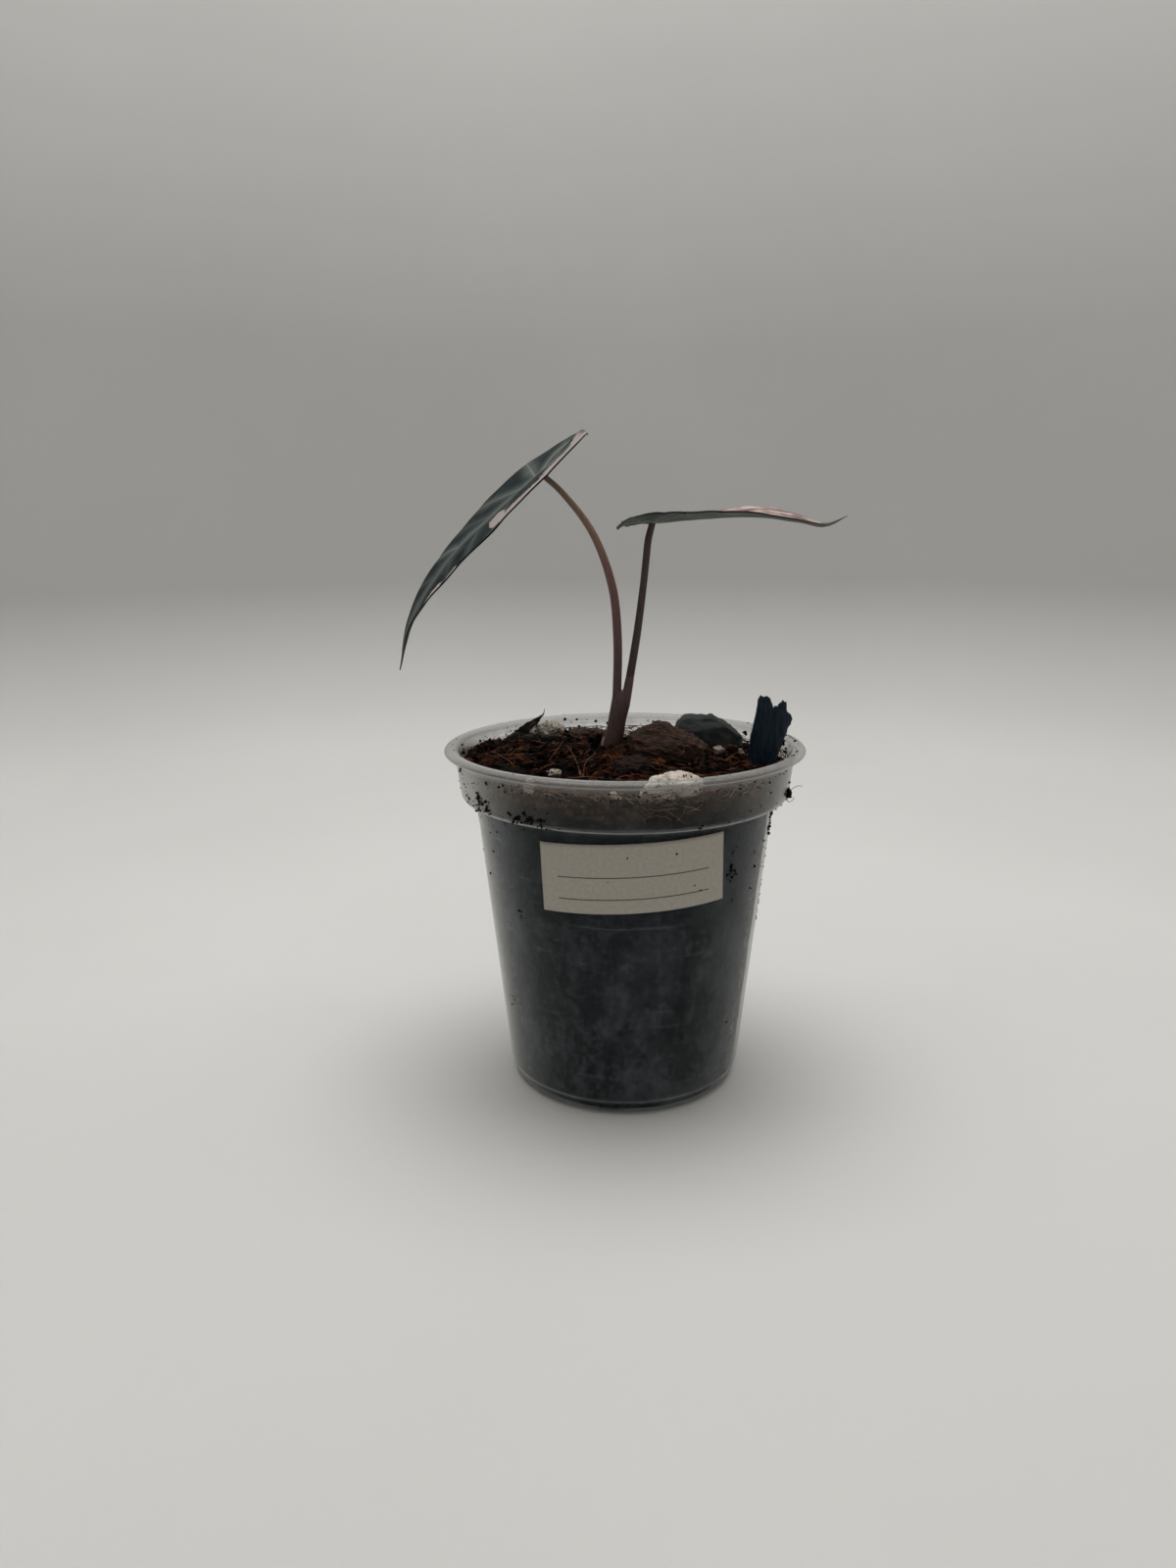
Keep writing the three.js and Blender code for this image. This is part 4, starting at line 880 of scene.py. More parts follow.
def make_label():
    """A rectangle of paper that follows the body's cone, a little askew."""
    bm = bmesh.new()
    uv = bm.loops.layers.uv.new("paper")
    bmesh.ops.create_grid(bm, x_segments=60, y_segments=16, size=0.5)
    flat = {v: Vector((v.co.x * LABEL_SIZE[0], v.co.y * LABEL_SIZE[1])) for v in bm.verts}
    for face in bm.faces:
        for loop in face.loops:
            loop[uv].uv = flat[loop.vert]
    for v, spot in flat.items():
        turned = spot.copy()
        turned.rotate(Matrix.Rotation(LABEL_TURN, 2))
        level = LABEL_MIDDLE[1] + turned.y
        r = wall_radius(level) + LABEL_GAP
        v.co = on_wall(LABEL_MIDDLE[0] + turned.x / r, level, LABEL_GAP)
    label = piece("paper_label", bm, [PAPER], "label_paper", "label")
    sheet = label.modifiers.new("thickness", "SOLIDIFY")
    sheet.thickness = LABEL_THICKNESS * MM
    sheet.offset = 1


# Growing mix

def mix_height(x, y):
    """Height of the mix's surface in the CAD part."""
    heap = MIX_HEAP * math.exp(-((x + 2) ** 2 + (y - 2) ** 2) / MIX_HEAP_SPREAD ** 2)
    rough = bumps(x / 7, y / 7, 0, 4) + 0.6 * bumps(x / 2.6, y / 2.6, 0, 9)
    return MIX_LEVEL + heap + MIX_ROUGHNESS * rough


def make_mix():
    """The mix's body: its side presses on the wall and on the front stone, and its top is rough."""
    bm = bmesh.new()
    wall = inside(POT_OUTSIDE, WALL + MIX_GAP)[:-1]
    side = []
    for (r0, z0), (r1, z1) in zip(wall, wall[1:]):
        cuts = max(1, round(math.hypot(r1 - r0, z1 - z0) / 1.2))
        side += [(r0 + (r1 - r0) * i / cuts, z0 + (z1 - z0) * i / cuts) for i in range(cuts)]
    rim = COLLAR_TOP[0] - WALL - MIX_GAP - 0.2
    top = [(rim * (1 - i / MIX_RINGS), MIX_LEVEL) for i in range(MIX_RINGS + 1)]
    spun(bm, [*side, wall[-1], (rim, MIX_LEVEL - 1.5), *top], MIX_SEGMENTS)
    bmesh.ops.recalc_face_normals(bm, faces=bm.faces)
    for face in bm.faces:
        face.material_index = 0 if face.calc_center_median().z > MIX_LEVEL - 0.2 else 1
    stone_at, stone_half = LUMPS["pumice_front"][:2]
    for v in bm.verts:
        if v.co.z > MIX_LEVEL - 0.01:
            rough = noise.fractal(v.co / 2.2, 0.8, 2.2, 4)
            v.co.z = mix_height(v.co.x, v.co.y) - 0.5 + 0.7 * rough
        elif v.co.xy.length > 20:
            dent = 0.15 + 0.6 * noise.fractal(v.co / 3.5, 0.8, 2.2, 3)
            # The front stone presses a pocket into the side.
            from_stone = math.hypot((v.co.x - stone_at[0]) / (stone_half[0] + 0.6), (v.co.z - 83) / 2.8)
            beside_stone = v.co.y < 0 and v.co.z > 77
            pocket = 5 * min(max(1.3 - from_stone, 0) * 3, 1) if beside_stone else 0
            v.co.xy *= 1 - (0.5 * min(max(dent, 0), 1) + pocket) / v.co.xy.length
    piece("coir_mix", bm, [DUST, PRESSED], "coir_mix", "growing_mix")


def scattered(count, reach, seed):
    """Random [x, y, angle, random source] places over the mix."""
    chance = random.Random(seed)
    for _ in range(count):
        r = reach * math.sqrt(chance.random())
        a = chance.uniform(0, 2 * math.pi)
        yield r * math.cos(a), r * math.sin(a), a, chance


def tumbled(chance):
    """A turn any way up."""
    return Euler([chance.uniform(0, 6) for _ in range(3)])


def grit(bm, at, size, turn, chance, jitter=0.28):
    """Adds one small angular grain."""
    ball = bmesh.ops.create_icosphere(bm, subdivisions=1, radius=1)["verts"]
    turned = turn.to_matrix()
    for v in ball:
        rough = 1 + chance.uniform(-jitter, jitter)
        v.co = turned @ Vector(c * s * rough for c, s in zip(v.co, size)) + at


def clumped(bm, clumps, chance):
    """Adds clumps of grains, heaped to their middles."""
    for x, y, spread, rise, count in clumps:
        for _ in range(count):
            away = Vector((chance.gauss(0, spread / 2), chance.gauss(0, spread / 2)))
            spot = Vector((x, y)) + away
            spot *= min(1, CLUMP_REACH / spot.length)
            size = chance.uniform(0.5, 1.2)
            turn = tumbled(chance)
            lift = rise * math.exp(-((away.length / spread) ** 2)) * chance.uniform(0.2, 1)
            grit(bm, Vector((*spot, mix_height(*spot) + lift)), (size, size * 0.7, size * 0.7), turn, chance)


def make_crumbs():
    """Crumbs all over, and clumps of them heaped along the left wall and round the stalks."""
    for tone, made_of, clumps, seed in (
        ("black", BLACK_CRUMB, CLUMPS, 21), ("brown", EARTH, CLUMPS + BROWN_CLUMPS, 22)
    ):
        bm = bmesh.new()
        for x, y, _, chance in scattered(CRUMBS // 2, CRUMB_REACH, seed):
            size = 0.3 + 0.6 * chance.random() ** 2.2
            turn = tumbled(chance)
            at = Vector((x, y, mix_height(x, y) + chance.uniform(-0.3, 0.7)))
            grit(bm, at, (size, size * 0.8, size * 0.7), turn, chance)
        clumped(bm, [(x, y, spread, rise, count // 2) for x, y, spread, rise, count in clumps], chance)
        if tone == "black":
            for stone_name, count in DUSTED:
                dust_stone(bm, stone_name, count, chance)
        piece("coir_crumbs_" + tone, bm, [made_of], "coir_mix", crease=0.6)


def dust_stone(bm, name, count, chance):
    """Adds grains that lie on the top and the front of a pale stone."""
    if name in LUMPS:
        at, half = LUMPS[name][:2]
    else:
        x, y, z, wide, high = PERLITE[name - 1]
        at, half = (x, y, z), (wide, 0.8 * wide, high)
    for _ in range(count):
        d = Vector((chance.gauss(0, 1), -abs(chance.gauss(0, 1)), abs(chance.gauss(0, 0.8)))).normalized()
        spot = Vector(c * h for c, h in zip(d, half)) + Vector(at)
        size = chance.uniform(0.12, 0.42)
        grit(bm, spot, (size, size * 0.6, size * 0.5), tumbled(chance), chance)


def make_bits():
    """Chips, scales and slivers that are seen one by one in the mix."""
    for i, (made_of, at, half, turn) in enumerate(BITS, 1):
        bm = bmesh.new()
        turned = Euler(turn).to_matrix()
        for v in bmesh.ops.create_icosphere(bm, subdivisions=3, radius=1)["verts"]:
            blocky = max(abs(c) for c in v.co) ** -0.6
            rough = 1 + 0.25 * noise.fractal(v.co * 2 + Vector((i * 5, 0, 0)), 0.8, 2.1, 3)
            v.co = turned @ Vector(c * h * blocky * rough for c, h in zip(v.co, half)) + Vector(at)
        piece(f"bit_{i}", bm, [made_of], "coir_mix", crease=0.7)


def make_chips():
    """Flakes of husk, lying at all slants."""
    for tone, made_of, count, longest, seed in FLAKES:
        bm = bmesh.new()
        for x, y, _, chance in scattered(count, FLAKE_REACH, seed):
            long = chance.uniform(0.8, longest)
            size = (long, chance.uniform(0.25, 0.8), chance.uniform(0.1, 0.3))
            turn = Euler((chance.uniform(-0.9, 0.9), chance.uniform(-0.6, 0.6), chance.uniform(0, math.pi)))
            at = Vector((x, y, mix_height(x, y) + chance.uniform(-0.1, 1)))
            grit(bm, at, size, turn, chance, 0.35)
        piece("husk_flakes_" + tone, bm, [made_of], "coir_mix", crease=0.5)


def flow(x, y):
    """The heading that matted fibres share at a place on the mix."""
    return 3.4 * noise.noise(Vector((x / 13, y / 13, 2))) + 0.5


def slender(share):
    """A fibre's thickness at a share of its length: full in its middle and thin at its ends."""
    return 1 - 0.6 * abs(2 * share - 1) ** 3


def fibre_over_mix(x, y, swerve, length, chance, lift):
    """A fibre that follows the mix's surface and its flow."""
    course = []
    steps = max(4, round(length / 1.3))
    for i in range(steps + 1):
        share = i / steps
        edge = math.hypot(x, y)
        if edge > FIBRE_REACH:
            x, y = x * FIBRE_REACH / edge, y * FIBRE_REACH / edge
        rise = lift * math.sin(math.pi * share)
        course.append(((x, y, mix_height(x, y) + 0.25 + rise), slender(share)))
        heading = flow(x, y) + swerve
        x += length / steps * math.cos(heading)
        y += length / steps * math.sin(heading)
        swerve += chance.gauss(0, 0.12)
    return course


def make_fibres():
    """Matted coir: bundles of fibres side by side that swirl over the mix."""
    for tone, made_of, share, seed, radius in FIBRES:
        courses = []
        for x, y, _, chance in scattered(round(FIBRE_BUNDLES * share), BUNDLE_REACH, seed):
            swerve = chance.gauss(0, 0.45) + chance.choice((0, math.pi))
            length = 2.5 + 9 * chance.random() ** 1.6
            lift = chance.uniform(0, 1.3)
            for _ in range(chance.choice((1, 2, 3, 4))):
                beside = Vector((chance.gauss(0, 0.5), chance.gauss(0, 0.5)))
                courses.append(fibre_over_mix(x + beside.x, y + beside.y, swerve, length, chance, lift))
        if tone == "tan":
            courses += [tapered(points, 20, 0.9, 0.3) for points in SEEN_FIBRES]
        bm = bmesh.new()
        strands(bm, courses, radius)
        piece("coir_fibres_" + tone, bm, [made_of], "coir_mix")


def make_wall_fibres():
    """Fibres pressed flat between the mix and the pot's wall, most of them in the collar."""
    chance = random.Random(WALL_FIBRE_SEED)
    bottom, below_ledge = LOW_FIBRES
    above_ledge, top = COLLAR_FIBRES
    for tone, made_of, share, radius in PRESSED_FIBRES:
        courses = []
        for _ in range(round(WALL_FIBRES * share)):
            low = tone == "umber" or chance.random() < 0.04
            level = chance.uniform(bottom, below_ledge) if low else 83.4 - 7.2 * chance.random() ** 2.2
            angle = chance.uniform(0, 2 * math.pi)
            heading = chance.gauss(0, 0.5) + chance.choice((0, math.pi))
            length = chance.uniform(1.5, 7)
            steps = max(4, round(length / 0.8))
            course = []
            for i in range(steps + 1):
                level = min(level, top)
                course.append((on_wall(angle, level, -WALL - 0.22), slender(i / steps)))
                angle += length / steps * math.cos(heading) / LEDGE_RADIUS
                level += length / steps * math.sin(heading)
                heading += chance.gauss(0, 0.35)
                if below_ledge < level < above_ledge:
                    level = below_ledge if low else above_ledge
            courses.append(course)
        bm = bmesh.new()
        strands(bm, courses, radius)
        piece("pressed_fibres_" + tone, bm, [made_of], "coir_mix")


# Loose lumps

def lump(bm, at, half, power, rough, seed, turn, cuts, relief, subdivisions=6):
    """Adds a lump of the CAD part's form, with relief(place, seed) raised from it."""
    turned = Euler(turn, "ZYX").to_matrix()
    for v in bmesh.ops.create_icosphere(bm, subdivisions=subdivisions, radius=1)["verts"]:
        d = v.co.normalized()
        reach = sum(abs(c) ** power for c in d) ** (-1 / power)
        reach *= 1 + rough * bumps(2 * d.x, 2 * d.y, 2 * d.z, seed)
        place = turned @ (Vector(c * h for c, h in zip(d, half)) * reach)
        for x, y, z, distance in cuts:
            square = Vector((x, y, z)).normalized()
            place += square * min(distance - place.dot(square), 0) * 0.9
        v.co = place + turned @ d * relief(place, seed) + Vector(at)


def bark_relief(place, seed):
    """Corky plates: wavy layers that step in and out, with cracks between them."""
    spot = place + Vector((seed * 7, 0, 0))
    warp = noise.fractal(spot / 5, 0.9, 2.1, 3)
    layer = math.sin(2 * math.pi * ((place.z + 0.35 * place.x) / 2.3 + 1.1 * warp))
    step = 0.3 * layer / (0.35 + abs(layer))
    crack = max(0, noise.ridged_multi_fractal(spot / 4, 0.9, 2.1, 4, 0.9, 2) - 1.2)
    return step - 0.5 * min(crack, 1.2) + 0.4 * noise.fractal(spot / 1.5, 0.8, 2.1, 5) - 0.2


def charcoal_relief(place, seed):
    """Rounded off, with shallow dents and grain along its length."""
    spot = place + Vector((seed * 7, 0, 0))
    grain = noise.fractal(Vector((spot.x / 6, spot.y / 1.6, spot.z / 1.6)), 0.9, 2.1, 4)
    return 0.45 * noise.fractal(spot / 3.2, 0.9, 2.1, 5) + 0.18 * grain - 0.25


def stone_relief(place, seed):
    """Foam: sharp little pits in an uneven surface."""
    spot = place + Vector((seed * 7, 0, 0))
    pit = max(0, 0.42 - noise.voronoi(spot / 0.95)[0][0])
    return 0.3 * noise.fractal(spot / 1.8, 0.8, 2.2, 4) - 0.9 * pit - 0.08


def make_lumps():
    """The lumps and the perlite, each in place of its node."""
    kinds = {
        "bark": (bark_relief, BARK, "bark", 6),
        "charcoal": (charcoal_relief, LUMP_CHARCOAL, "charcoal", 5),
        "pumice": (stone_relief, PUMICE, "pumice_stone", 6),
    }
    for name, shape in LUMPS.items():
        relief, made_of, slot, fineness = kinds[name.split("_")[0]]
        bm = bmesh.new()
        lump(bm, *shape, relief, fineness)
        piece(name + "_fine", bm, [SPECIAL.get(name, made_of)], slot, name)
    for i, (x, y, z, wide, high) in enumerate(PERLITE, 1):
        bm = bmesh.new()
        half = (wide, 0.8 * wide, high)
        lump(bm, (x, y, z), half, 2.3, 0.24, i, (0, 0, i), [], stone_relief, 5)
        piece(f"perlite_{i}_fine", bm, [PERLITE_WHITE], "pumice_stone", f"perlite_{i}")


def block(bm, cuts):
    """Adds a unit cube whose faces are cut into a grid."""
    bmesh.ops.create_cube(bm, size=2)
    bmesh.ops.subdivide_edges(bm, edges=bm.edges, cuts=cuts, use_grid_fill=True)


def make_stick():
    """A split of charcoal: flat-sided, grooved along its grain and torn off at its top."""
    bm = bmesh.new()
    block(bm, 60)
    for v in bm.verts:
        x, y, z = v.co
        out = max(abs(x), abs(y))
        a = math.atan2(y, x)
        reach = out * (abs(math.cos(a)) ** 3 + abs(math.sin(a)) ** 3) ** (-1 / 3)
        across, back = math.cos(a) * reach, math.sin(a) * reach
        share = (z + 1) / 2
        level = STICK_FOOT + share * STICK_HEIGHT
        for _ in range(3):
            left, right = read_at(STICK_LEFT, level), read_at(STICK_RIGHT, level)
            spot = (left + right) / 2 + across * (right - left) / 2
            level = STICK_FOOT + share * (read_at(STICK_TOP, spot) - STICK_FOOT)
        splinter = noise.fractal(Vector((spot * 1.6, back * 3.5, 5)), 0.7, 2.2, 3)
        level += 0.7 * splinter * max(0, share * 6 - 5)
        groove = noise.fractal(Vector((spot * 1.3, back * 2.4, level * 0.09)), 0.7, 2.1, 4)
        crack = noise.fractal(Vector((spot * 0.5, back, level * 0.8)), 0.7, 2.1, 4)
        scale = 1 + out * (0.07 * groove + 0.025 * crack) - 0.02
        middle = STICK_MIDDLE_Y - STICK_LEAN * (level - STICK_FOOT)
        mid = (left + right) / 2
        v.co = Vector((mid + (spot - mid) * scale, middle + back * STICK_HALF_DEPTH * scale, level))
    piece("charcoal_split", bm, [SPLIT_CHARCOAL], "charcoal", "charcoal_stick", crease=0.7)


def make_shard():
    """A thin weathered splinter of bark that stands at the back left, with a whisker at its tip."""
    bm = bmesh.new()
    front = []
    for x, z in SHARD_OUTLINE:
        y = SHARD_DEPTH - SHARD_THICKNESS / 2 + SHARD_LEAN * (z - SHARD_MIDDLE)
        front.append(bm.verts.new((x, y, z)))
    face = bm.faces.new(front)
    grown = bmesh.ops.extrude_face_region(bm, geom=[face])["geom"]
    back = [v for v in grown if isinstance(v, bmesh.types.BMVert)]
    bmesh.ops.translate(bm, verts=back, vec=(0, SHARD_THICKNESS, 0))
    bmesh.ops.triangulate(bm, faces=bm.faces)
    bmesh.ops.subdivide_edges(bm, edges=bm.edges, cuts=7, use_grid_fill=True)
    bmesh.ops.recalc_face_normals(bm, faces=bm.faces)
    bm.normal_update()
    for v in bm.verts:
        v.co += v.normal * (0.5 * noise.fractal(v.co / 1.5, 0.8, 2.1, 4) - 0.15)
    strands(bm, [SHARD_WHISKER], 0.16)
    piece("bark_splinter", bm, [WEATHERED_BARK], "bark", "bark_shard", crease=0.8)


# Plant

class Midrib:
    """A leaf's midrib, read by the run along it from the lobes' end."""

    def __init__(self, leaf):
        self.back = leaf["back"]
        self.points = [on_course(leaf["midrib"], i / MIDRIB_STEPS) for i in range(MIDRIB_STEPS + 1)]
        self.runs = [0.0]
        for a, b in zip(self.points, self.points[1:]):
            self.runs.append(self.runs[-1] + (b - a).length)
        self.total = self.runs[-1]

    def place(self, run):
        """The place from -1 to 1 of a run."""
        return (run - self.back) / (self.back if run < self.back else self.total - self.back)

    def frame(self, run):
        """The point, the level way to the far side and the upper face's normal."""
        i = min(max(bisect.bisect_left(self.runs, run), 1), MIDRIB_STEPS)
        share = (run - self.runs[i - 1]) / (self.runs[i] - self.runs[i - 1])
        ahead = (self.points[min(i + 4, MIDRIB_STEPS)] - self.points[max(i - 5, 0)]).normalized()
        level = (Vector((0, 1, 0)) - ahead * ahead.y).normalized()
        normal = level.cross(ahead)
        return self.points[i - 1].lerp(self.points[i], share), level, normal if normal.z > 0 else -normal


def vein_at(leaf, midrib, side, run, out, inner, outer):
    """How strongly a vein shows, from 0 to 1, with a soft halo round each vein."""
    place = midrib.place(run)
    near = []
    if place > 0:
        near.append((out, 0.6 * (1 - 0.5 * place), 0.9))
    else:
        middle = inner + (outer - inner) * 0.42
        near.append((abs(out - middle * min(1, -2.2 * place)), 0.6, 0.75))
    for of_side, start, slope, bend, strength in leaf["laterals"]:
        if of_side == side:
            course = start + slope * out + bend * out ** 2
            width = 0.5 * (1 - 0.5 * out / max(outer, 1))
            near.append((abs(run - course) / math.hypot(1, slope), width, strength))
    lines = max(strength * math.exp(-((gap / width) ** 2)) for gap, width, strength in near)
    halo = max(strength * math.exp(-((gap / 2.1) ** 2)) for gap, _, strength in near)
    return min(1, max(lines, 0.45 * halo))


def blush_at(leaf, side, run, out):
    """How far inside a pink patch a point is: 1 in its middle, 0 at its edge and below outside."""
    depth = -1.0
    for patch_side, middle, middle_out, half_run, half_out in leaf["blush"]:
        if patch_side == side:
            gap = ((run - middle) / half_run) ** 2 + ((out - middle_out) / half_out) ** 2
            depth = max(depth, 1 - gap)
    return depth


def make_leaf(name, leaf, upper_skin, node):
    """A blade of arrow shape: two halves that slope from the midrib, with a waved margin."""
    midrib = Midrib(leaf)
    bm = bmesh.new()
    uv = bm.loops.layers.uv.new("blade")
    vein_layer = bm.verts.layers.float.new("vein")
    blush_layer = bm.verts.layers.float.new("blush")
    edge_layer = bm.verts.layers.float.new("edge")
    flat = {}
    thickness = {}
    backward = (midrib.points[0] - midrib.points[4]).normalized()
    for side in (-1, 1):
        pick = 0 if side > 0 else 1
        long, wide = BLADE_CELLS
        half = bmesh.ops.create_grid(bm, x_segments=long, y_segments=wide, size=0.5)["verts"]
        for v in half:
            run = (v.co.x + 0.5) * (midrib.total - TIP_TRIM)
            share = v.co.y + 0.5
            place = midrib.place(run)
            point, level, normal = midrib.frame(run)
            slope = read_at(leaf["lift"], place, 1 + pick)
            wave = math.sin(2 * math.pi * MARGIN_WAVES * place) if 0 < place < 0.8 else 0
            outer = max(read_at(OUTER_EDGE, place), 0.015) * leaf["half"] * (1 + 0.005 * wave)
            inner = min(max(read_at(SINUS_EDGE, place), 0) * leaf["half"], outer) if place < SINUS_END else 0
            out = inner + (outer - inner) * share
            vein = vein_at(leaf, midrib, side, run, out, inner, outer)
            paler = leaf["tip"] * min(max((run - midrib.total + PALE_RUN) / 4, 0), 1)
            ribbed = BLADE + (RIB - BLADE) * min(max(1.2 * (vein - 0.3), 0), 1)
            thickness[v] = ribbed * (0.25 + 0.75 * min(1, (midrib.total - run) / THIN_RUN))
            v[vein_layer] = max(vein, paler)
            v[blush_layer] = 0.5 * blush_at(leaf, side, run, out) - paler
            v[edge_layer] = max(0, 1 - (outer - out) / 0.35) * min(1, outer / 4) * min(1, run / 6)
            rise = math.sin(slope) * (math.hypot(out, 0.5) - 0.5) + 0.05 * wave * share ** 3
            curl = leaf["curl"][pick] * max(0, (SINUS_END - place) / (1 + SINUS_END))
            rise += curl * (1 - share) ** 2 * min(1, (outer - inner) / 1.5)
            rise -= leaf["hook"][pick] * max(0, 1 - run / HOOK_RUN) ** 2
            back = leaf["reach"][pick] * max(0, -place) ** 4
            quilt = 0.1 * noise.noise(Vector((run / 5, out / 4, side * 9))) - 0.1 * vein
            v.co = point + level * side * out * math.cos(slope) + normal * (rise + quilt + BLADE_SEAT)
            v.co += backward * back
            flat[v] = (run, side * out)
        faces = {f for v in half for f in v.link_faces}
        for face in faces:
            for loop in face.loops:
                loop[uv].uv = flat[loop.vert]
        bm.normal_update()
        if sum(f.normal.z for f in faces) < 0:
            bmesh.ops.reverse_faces(bm, faces=list(faces))
    bmesh.ops.remove_doubles(bm, verts=bm.verts, dist=0.02)
    bm.verts.index_update()
    weights = [(v.index, thickness[v] / RIB) for v in bm.verts]
    blade = piece(name, bm, [upper_skin, LEAF_BACK], "leaf", node)
    group = blade.vertex_groups.new(name="rib")
    for index, weight in weights:
        group.add([index], weight, "REPLACE")
    sheet = blade.modifiers.new("thickness", "SOLIDIFY")
    sheet.thickness = RIB * MM
    sheet.offset = -1
    sheet.vertex_group = "rib"
    sheet.material_offset = 1
    sheet.material_offset_rim = 1


def stalk_course(points, radii, steps):
    """A stalk's course with its radius at each step, as read by strands."""
    course = []
    for i in range(steps + 1):
        spot = i / steps * (len(radii) - 1)
        low = min(int(spot), len(radii) - 2)
        radius = radii[low] + (radii[low + 1] - radii[low]) * (spot - low)
        course.append((on_course(points, i / steps), radius))
    return course


def petiole_end(leaf):
    """Where a petiole ends: in the underside of the blade's midrib."""
    midrib = Midrib(leaf)
    point, _, normal = midrib.frame(midrib.back - leaf["ahead"])
    return tuple(point - normal * (BLADE_SEAT + leaf["below"]))


def fused(bm, voxel, rounds):
    """Joins overlapping closed bodies into one skin and smooths the joins."""
    mesh = bpy.data.meshes.new("parts")
    bm.to_mesh(mesh)
    bm.free()
    holder = placed("parts", mesh)
    skin = holder.modifiers.new("skin", "REMESH")
    skin.mode = "VOXEL"
    skin.voxel_size = voxel
    whole = applied(holder)
    bpy.data.objects.remove(holder)
    joined = bmesh.new()
    joined.from_mesh(whole)
    for _ in range(rounds):
        bmesh.ops.smooth_vert(
            joined, verts=joined.verts, factor=0.5, use_axis_x=True, use_axis_y=True, use_axis_z=True
        )
    return joined


def make_petioles():
    """The older petiole with its sheath, fused, and the younger one that comes out of it."""
    older = bmesh.new()
    strands(older, [stalk_course([*LEFT_PETIOLE, petiole_end(LEFT_LEAF)], LEFT_RADII, 90)], 1, 16)
    sheath = bmesh.new()
    strands(sheath, [stalk_course(SHEATH, SHEATH_RADII, 24)], 1, 24)
    middle = SHEATH[0][1]
    for v in sheath.verts:
        v.co.y = middle + (v.co.y - middle) * SHEATH_FLATTEN
    strands(sheath, [stalk_course(SLEEVE, SLEEVE_RADII, 24)], 1, 24)
    join = bpy.data.meshes.new("sheath")
    sheath.to_mesh(join)
    sheath.free()
    older.from_mesh(join)
    bpy.data.meshes.remove(join)
    piece("older_petiole", fused(older, 0.18, 8), [OLD_SKIN], "petiole", "petiole_left")
    younger = bmesh.new()
    strands(younger, [stalk_course([*RIGHT_PETIOLE, petiole_end(RIGHT_LEAF)], RIGHT_RADII, 90)], 1, 16)
    piece("younger_petiole", younger, [YOUNG_SKIN], "petiole", "petiole_right")


# Soil and dust stuck to the pot

# Crumbs on the outside as [angle, height, size, count, spread].
STUCK_CRUMBS = [
    (1.28, 76.7, 1.2, 9, 1.3), (1.2, 77.3, 0.35, 5, 1.4), (1.3, 71.5, 0.8, 6, 1.5),
    (1.31, 67.5, 0.75, 7, 1.6), (1.17, 64.6, 0.35, 3, 1.8), (0.76, 66.6, 0.4, 4, 1.0),
    (1.03, 64, 0.35, 3, 0.8), (1.06, 60.4, 0.45, 4, 0.9), (0.77, 61.2, 0.55, 20, 2.3),
    (1.4, 42, 0.3, 8, 3.0), (1.33, 52, 0.25, 6, 3.0), (-0.78, 50.6, 0.45, 7, 1.3),
    (-0.53, 45.5, 0.3, 3, 0.8), (-1.2, 83.2, 0.4, 5, 1.4), (-0.85, 83, 0.45, 3, 1.0),
    (-0.7, 82.6, 0.45, 4, 1.1), (-0.95, 77.8, 0.6, 14, 1.7), (-0.86, 77, 0.5, 12, 1.6),
    (-0.9, 75.2, 0.45, 12, 2.4), (-0.74, 74.6, 0.4, 8, 2.0), (-0.63, 76.2, 0.6, 16, 1.6),
    (-0.54, 75.9, 0.65, 18, 1.7), (-0.46, 75.7, 0.55, 12, 1.5), (0.43, 74.6, 0.5, 4, 0.9),
    (0.73, 73.4, 0.4, 3, 0.8), (-1.05, 24, 0.35, 5, 3), (0.9, 20, 0.3, 6, 4), (-1.15, 80.5, 0.22, 9, 3),
    (-1, 82.2, 0.22, 7, 2.4), (-0.85, 80, 0.26, 8, 3), (-0.98, 76.6, 0.5, 16, 2.2),
    (-1.12, 75.4, 0.35, 10, 2), (-0.4, 75.2, 0.35, 8, 2.6), (1.34, 75.6, 0.45, 9, 2.2),
    (1.3, 69.4, 0.5, 9, 2.6), (1.36, 58, 0.3, 8, 3.4), (1.38, 47, 0.3, 8, 3.4), (-1.3, 71, 0.22, 6, 3),
    (-0.6, 62, 0.2, 5, 5), (2.2, 70, 0.5, 9, 2.5), (2.9, 76, 0.5, 12, 2.5), (-2.5, 77, 0.5, 12, 2.5),
    (-1.9, 55, 0.4, 8, 4),
]
# Specks on the label as [angle, height, size].
LABEL_SPECKS = [
    (0.019, 67.9, 0.22), (0.323, 68.4, 0.25), (0.507, 58.6, 0.25), (0.46, 60, 0.18), (-0.1, 62, 0.16),
]
# Specks on the lip lie between two radii of its top.
LIP_SPECKS = 90
LIP_RADII = (42.6, 43.6)
LIP_HEIGHT = 86.95
INNER_SPECKS = 190
WALL_SPECKS = 260
SOIL_SEED = 61
# Loose hairs as [angle, height, out] points.
HAIRS = [
    [(1.28, 77.4, 0.6), (1.31, 78.1, 1.6), (1.36, 77.9, 2.6), (1.4, 77.2, 3.2)],
    [(1.24, 75.6, 0.2), (1.25, 74.9, 0.9), (1.28, 74.8, 1.5), (1.29, 75.4, 1.8), (1.28, 75.8, 1.6)],
    [(-0.439, 84.2, -1.1), (-0.445, 82.6, -1.05), (-0.45, 80.6, -1.05), (-0.43, 79.4, -1.05)],
]


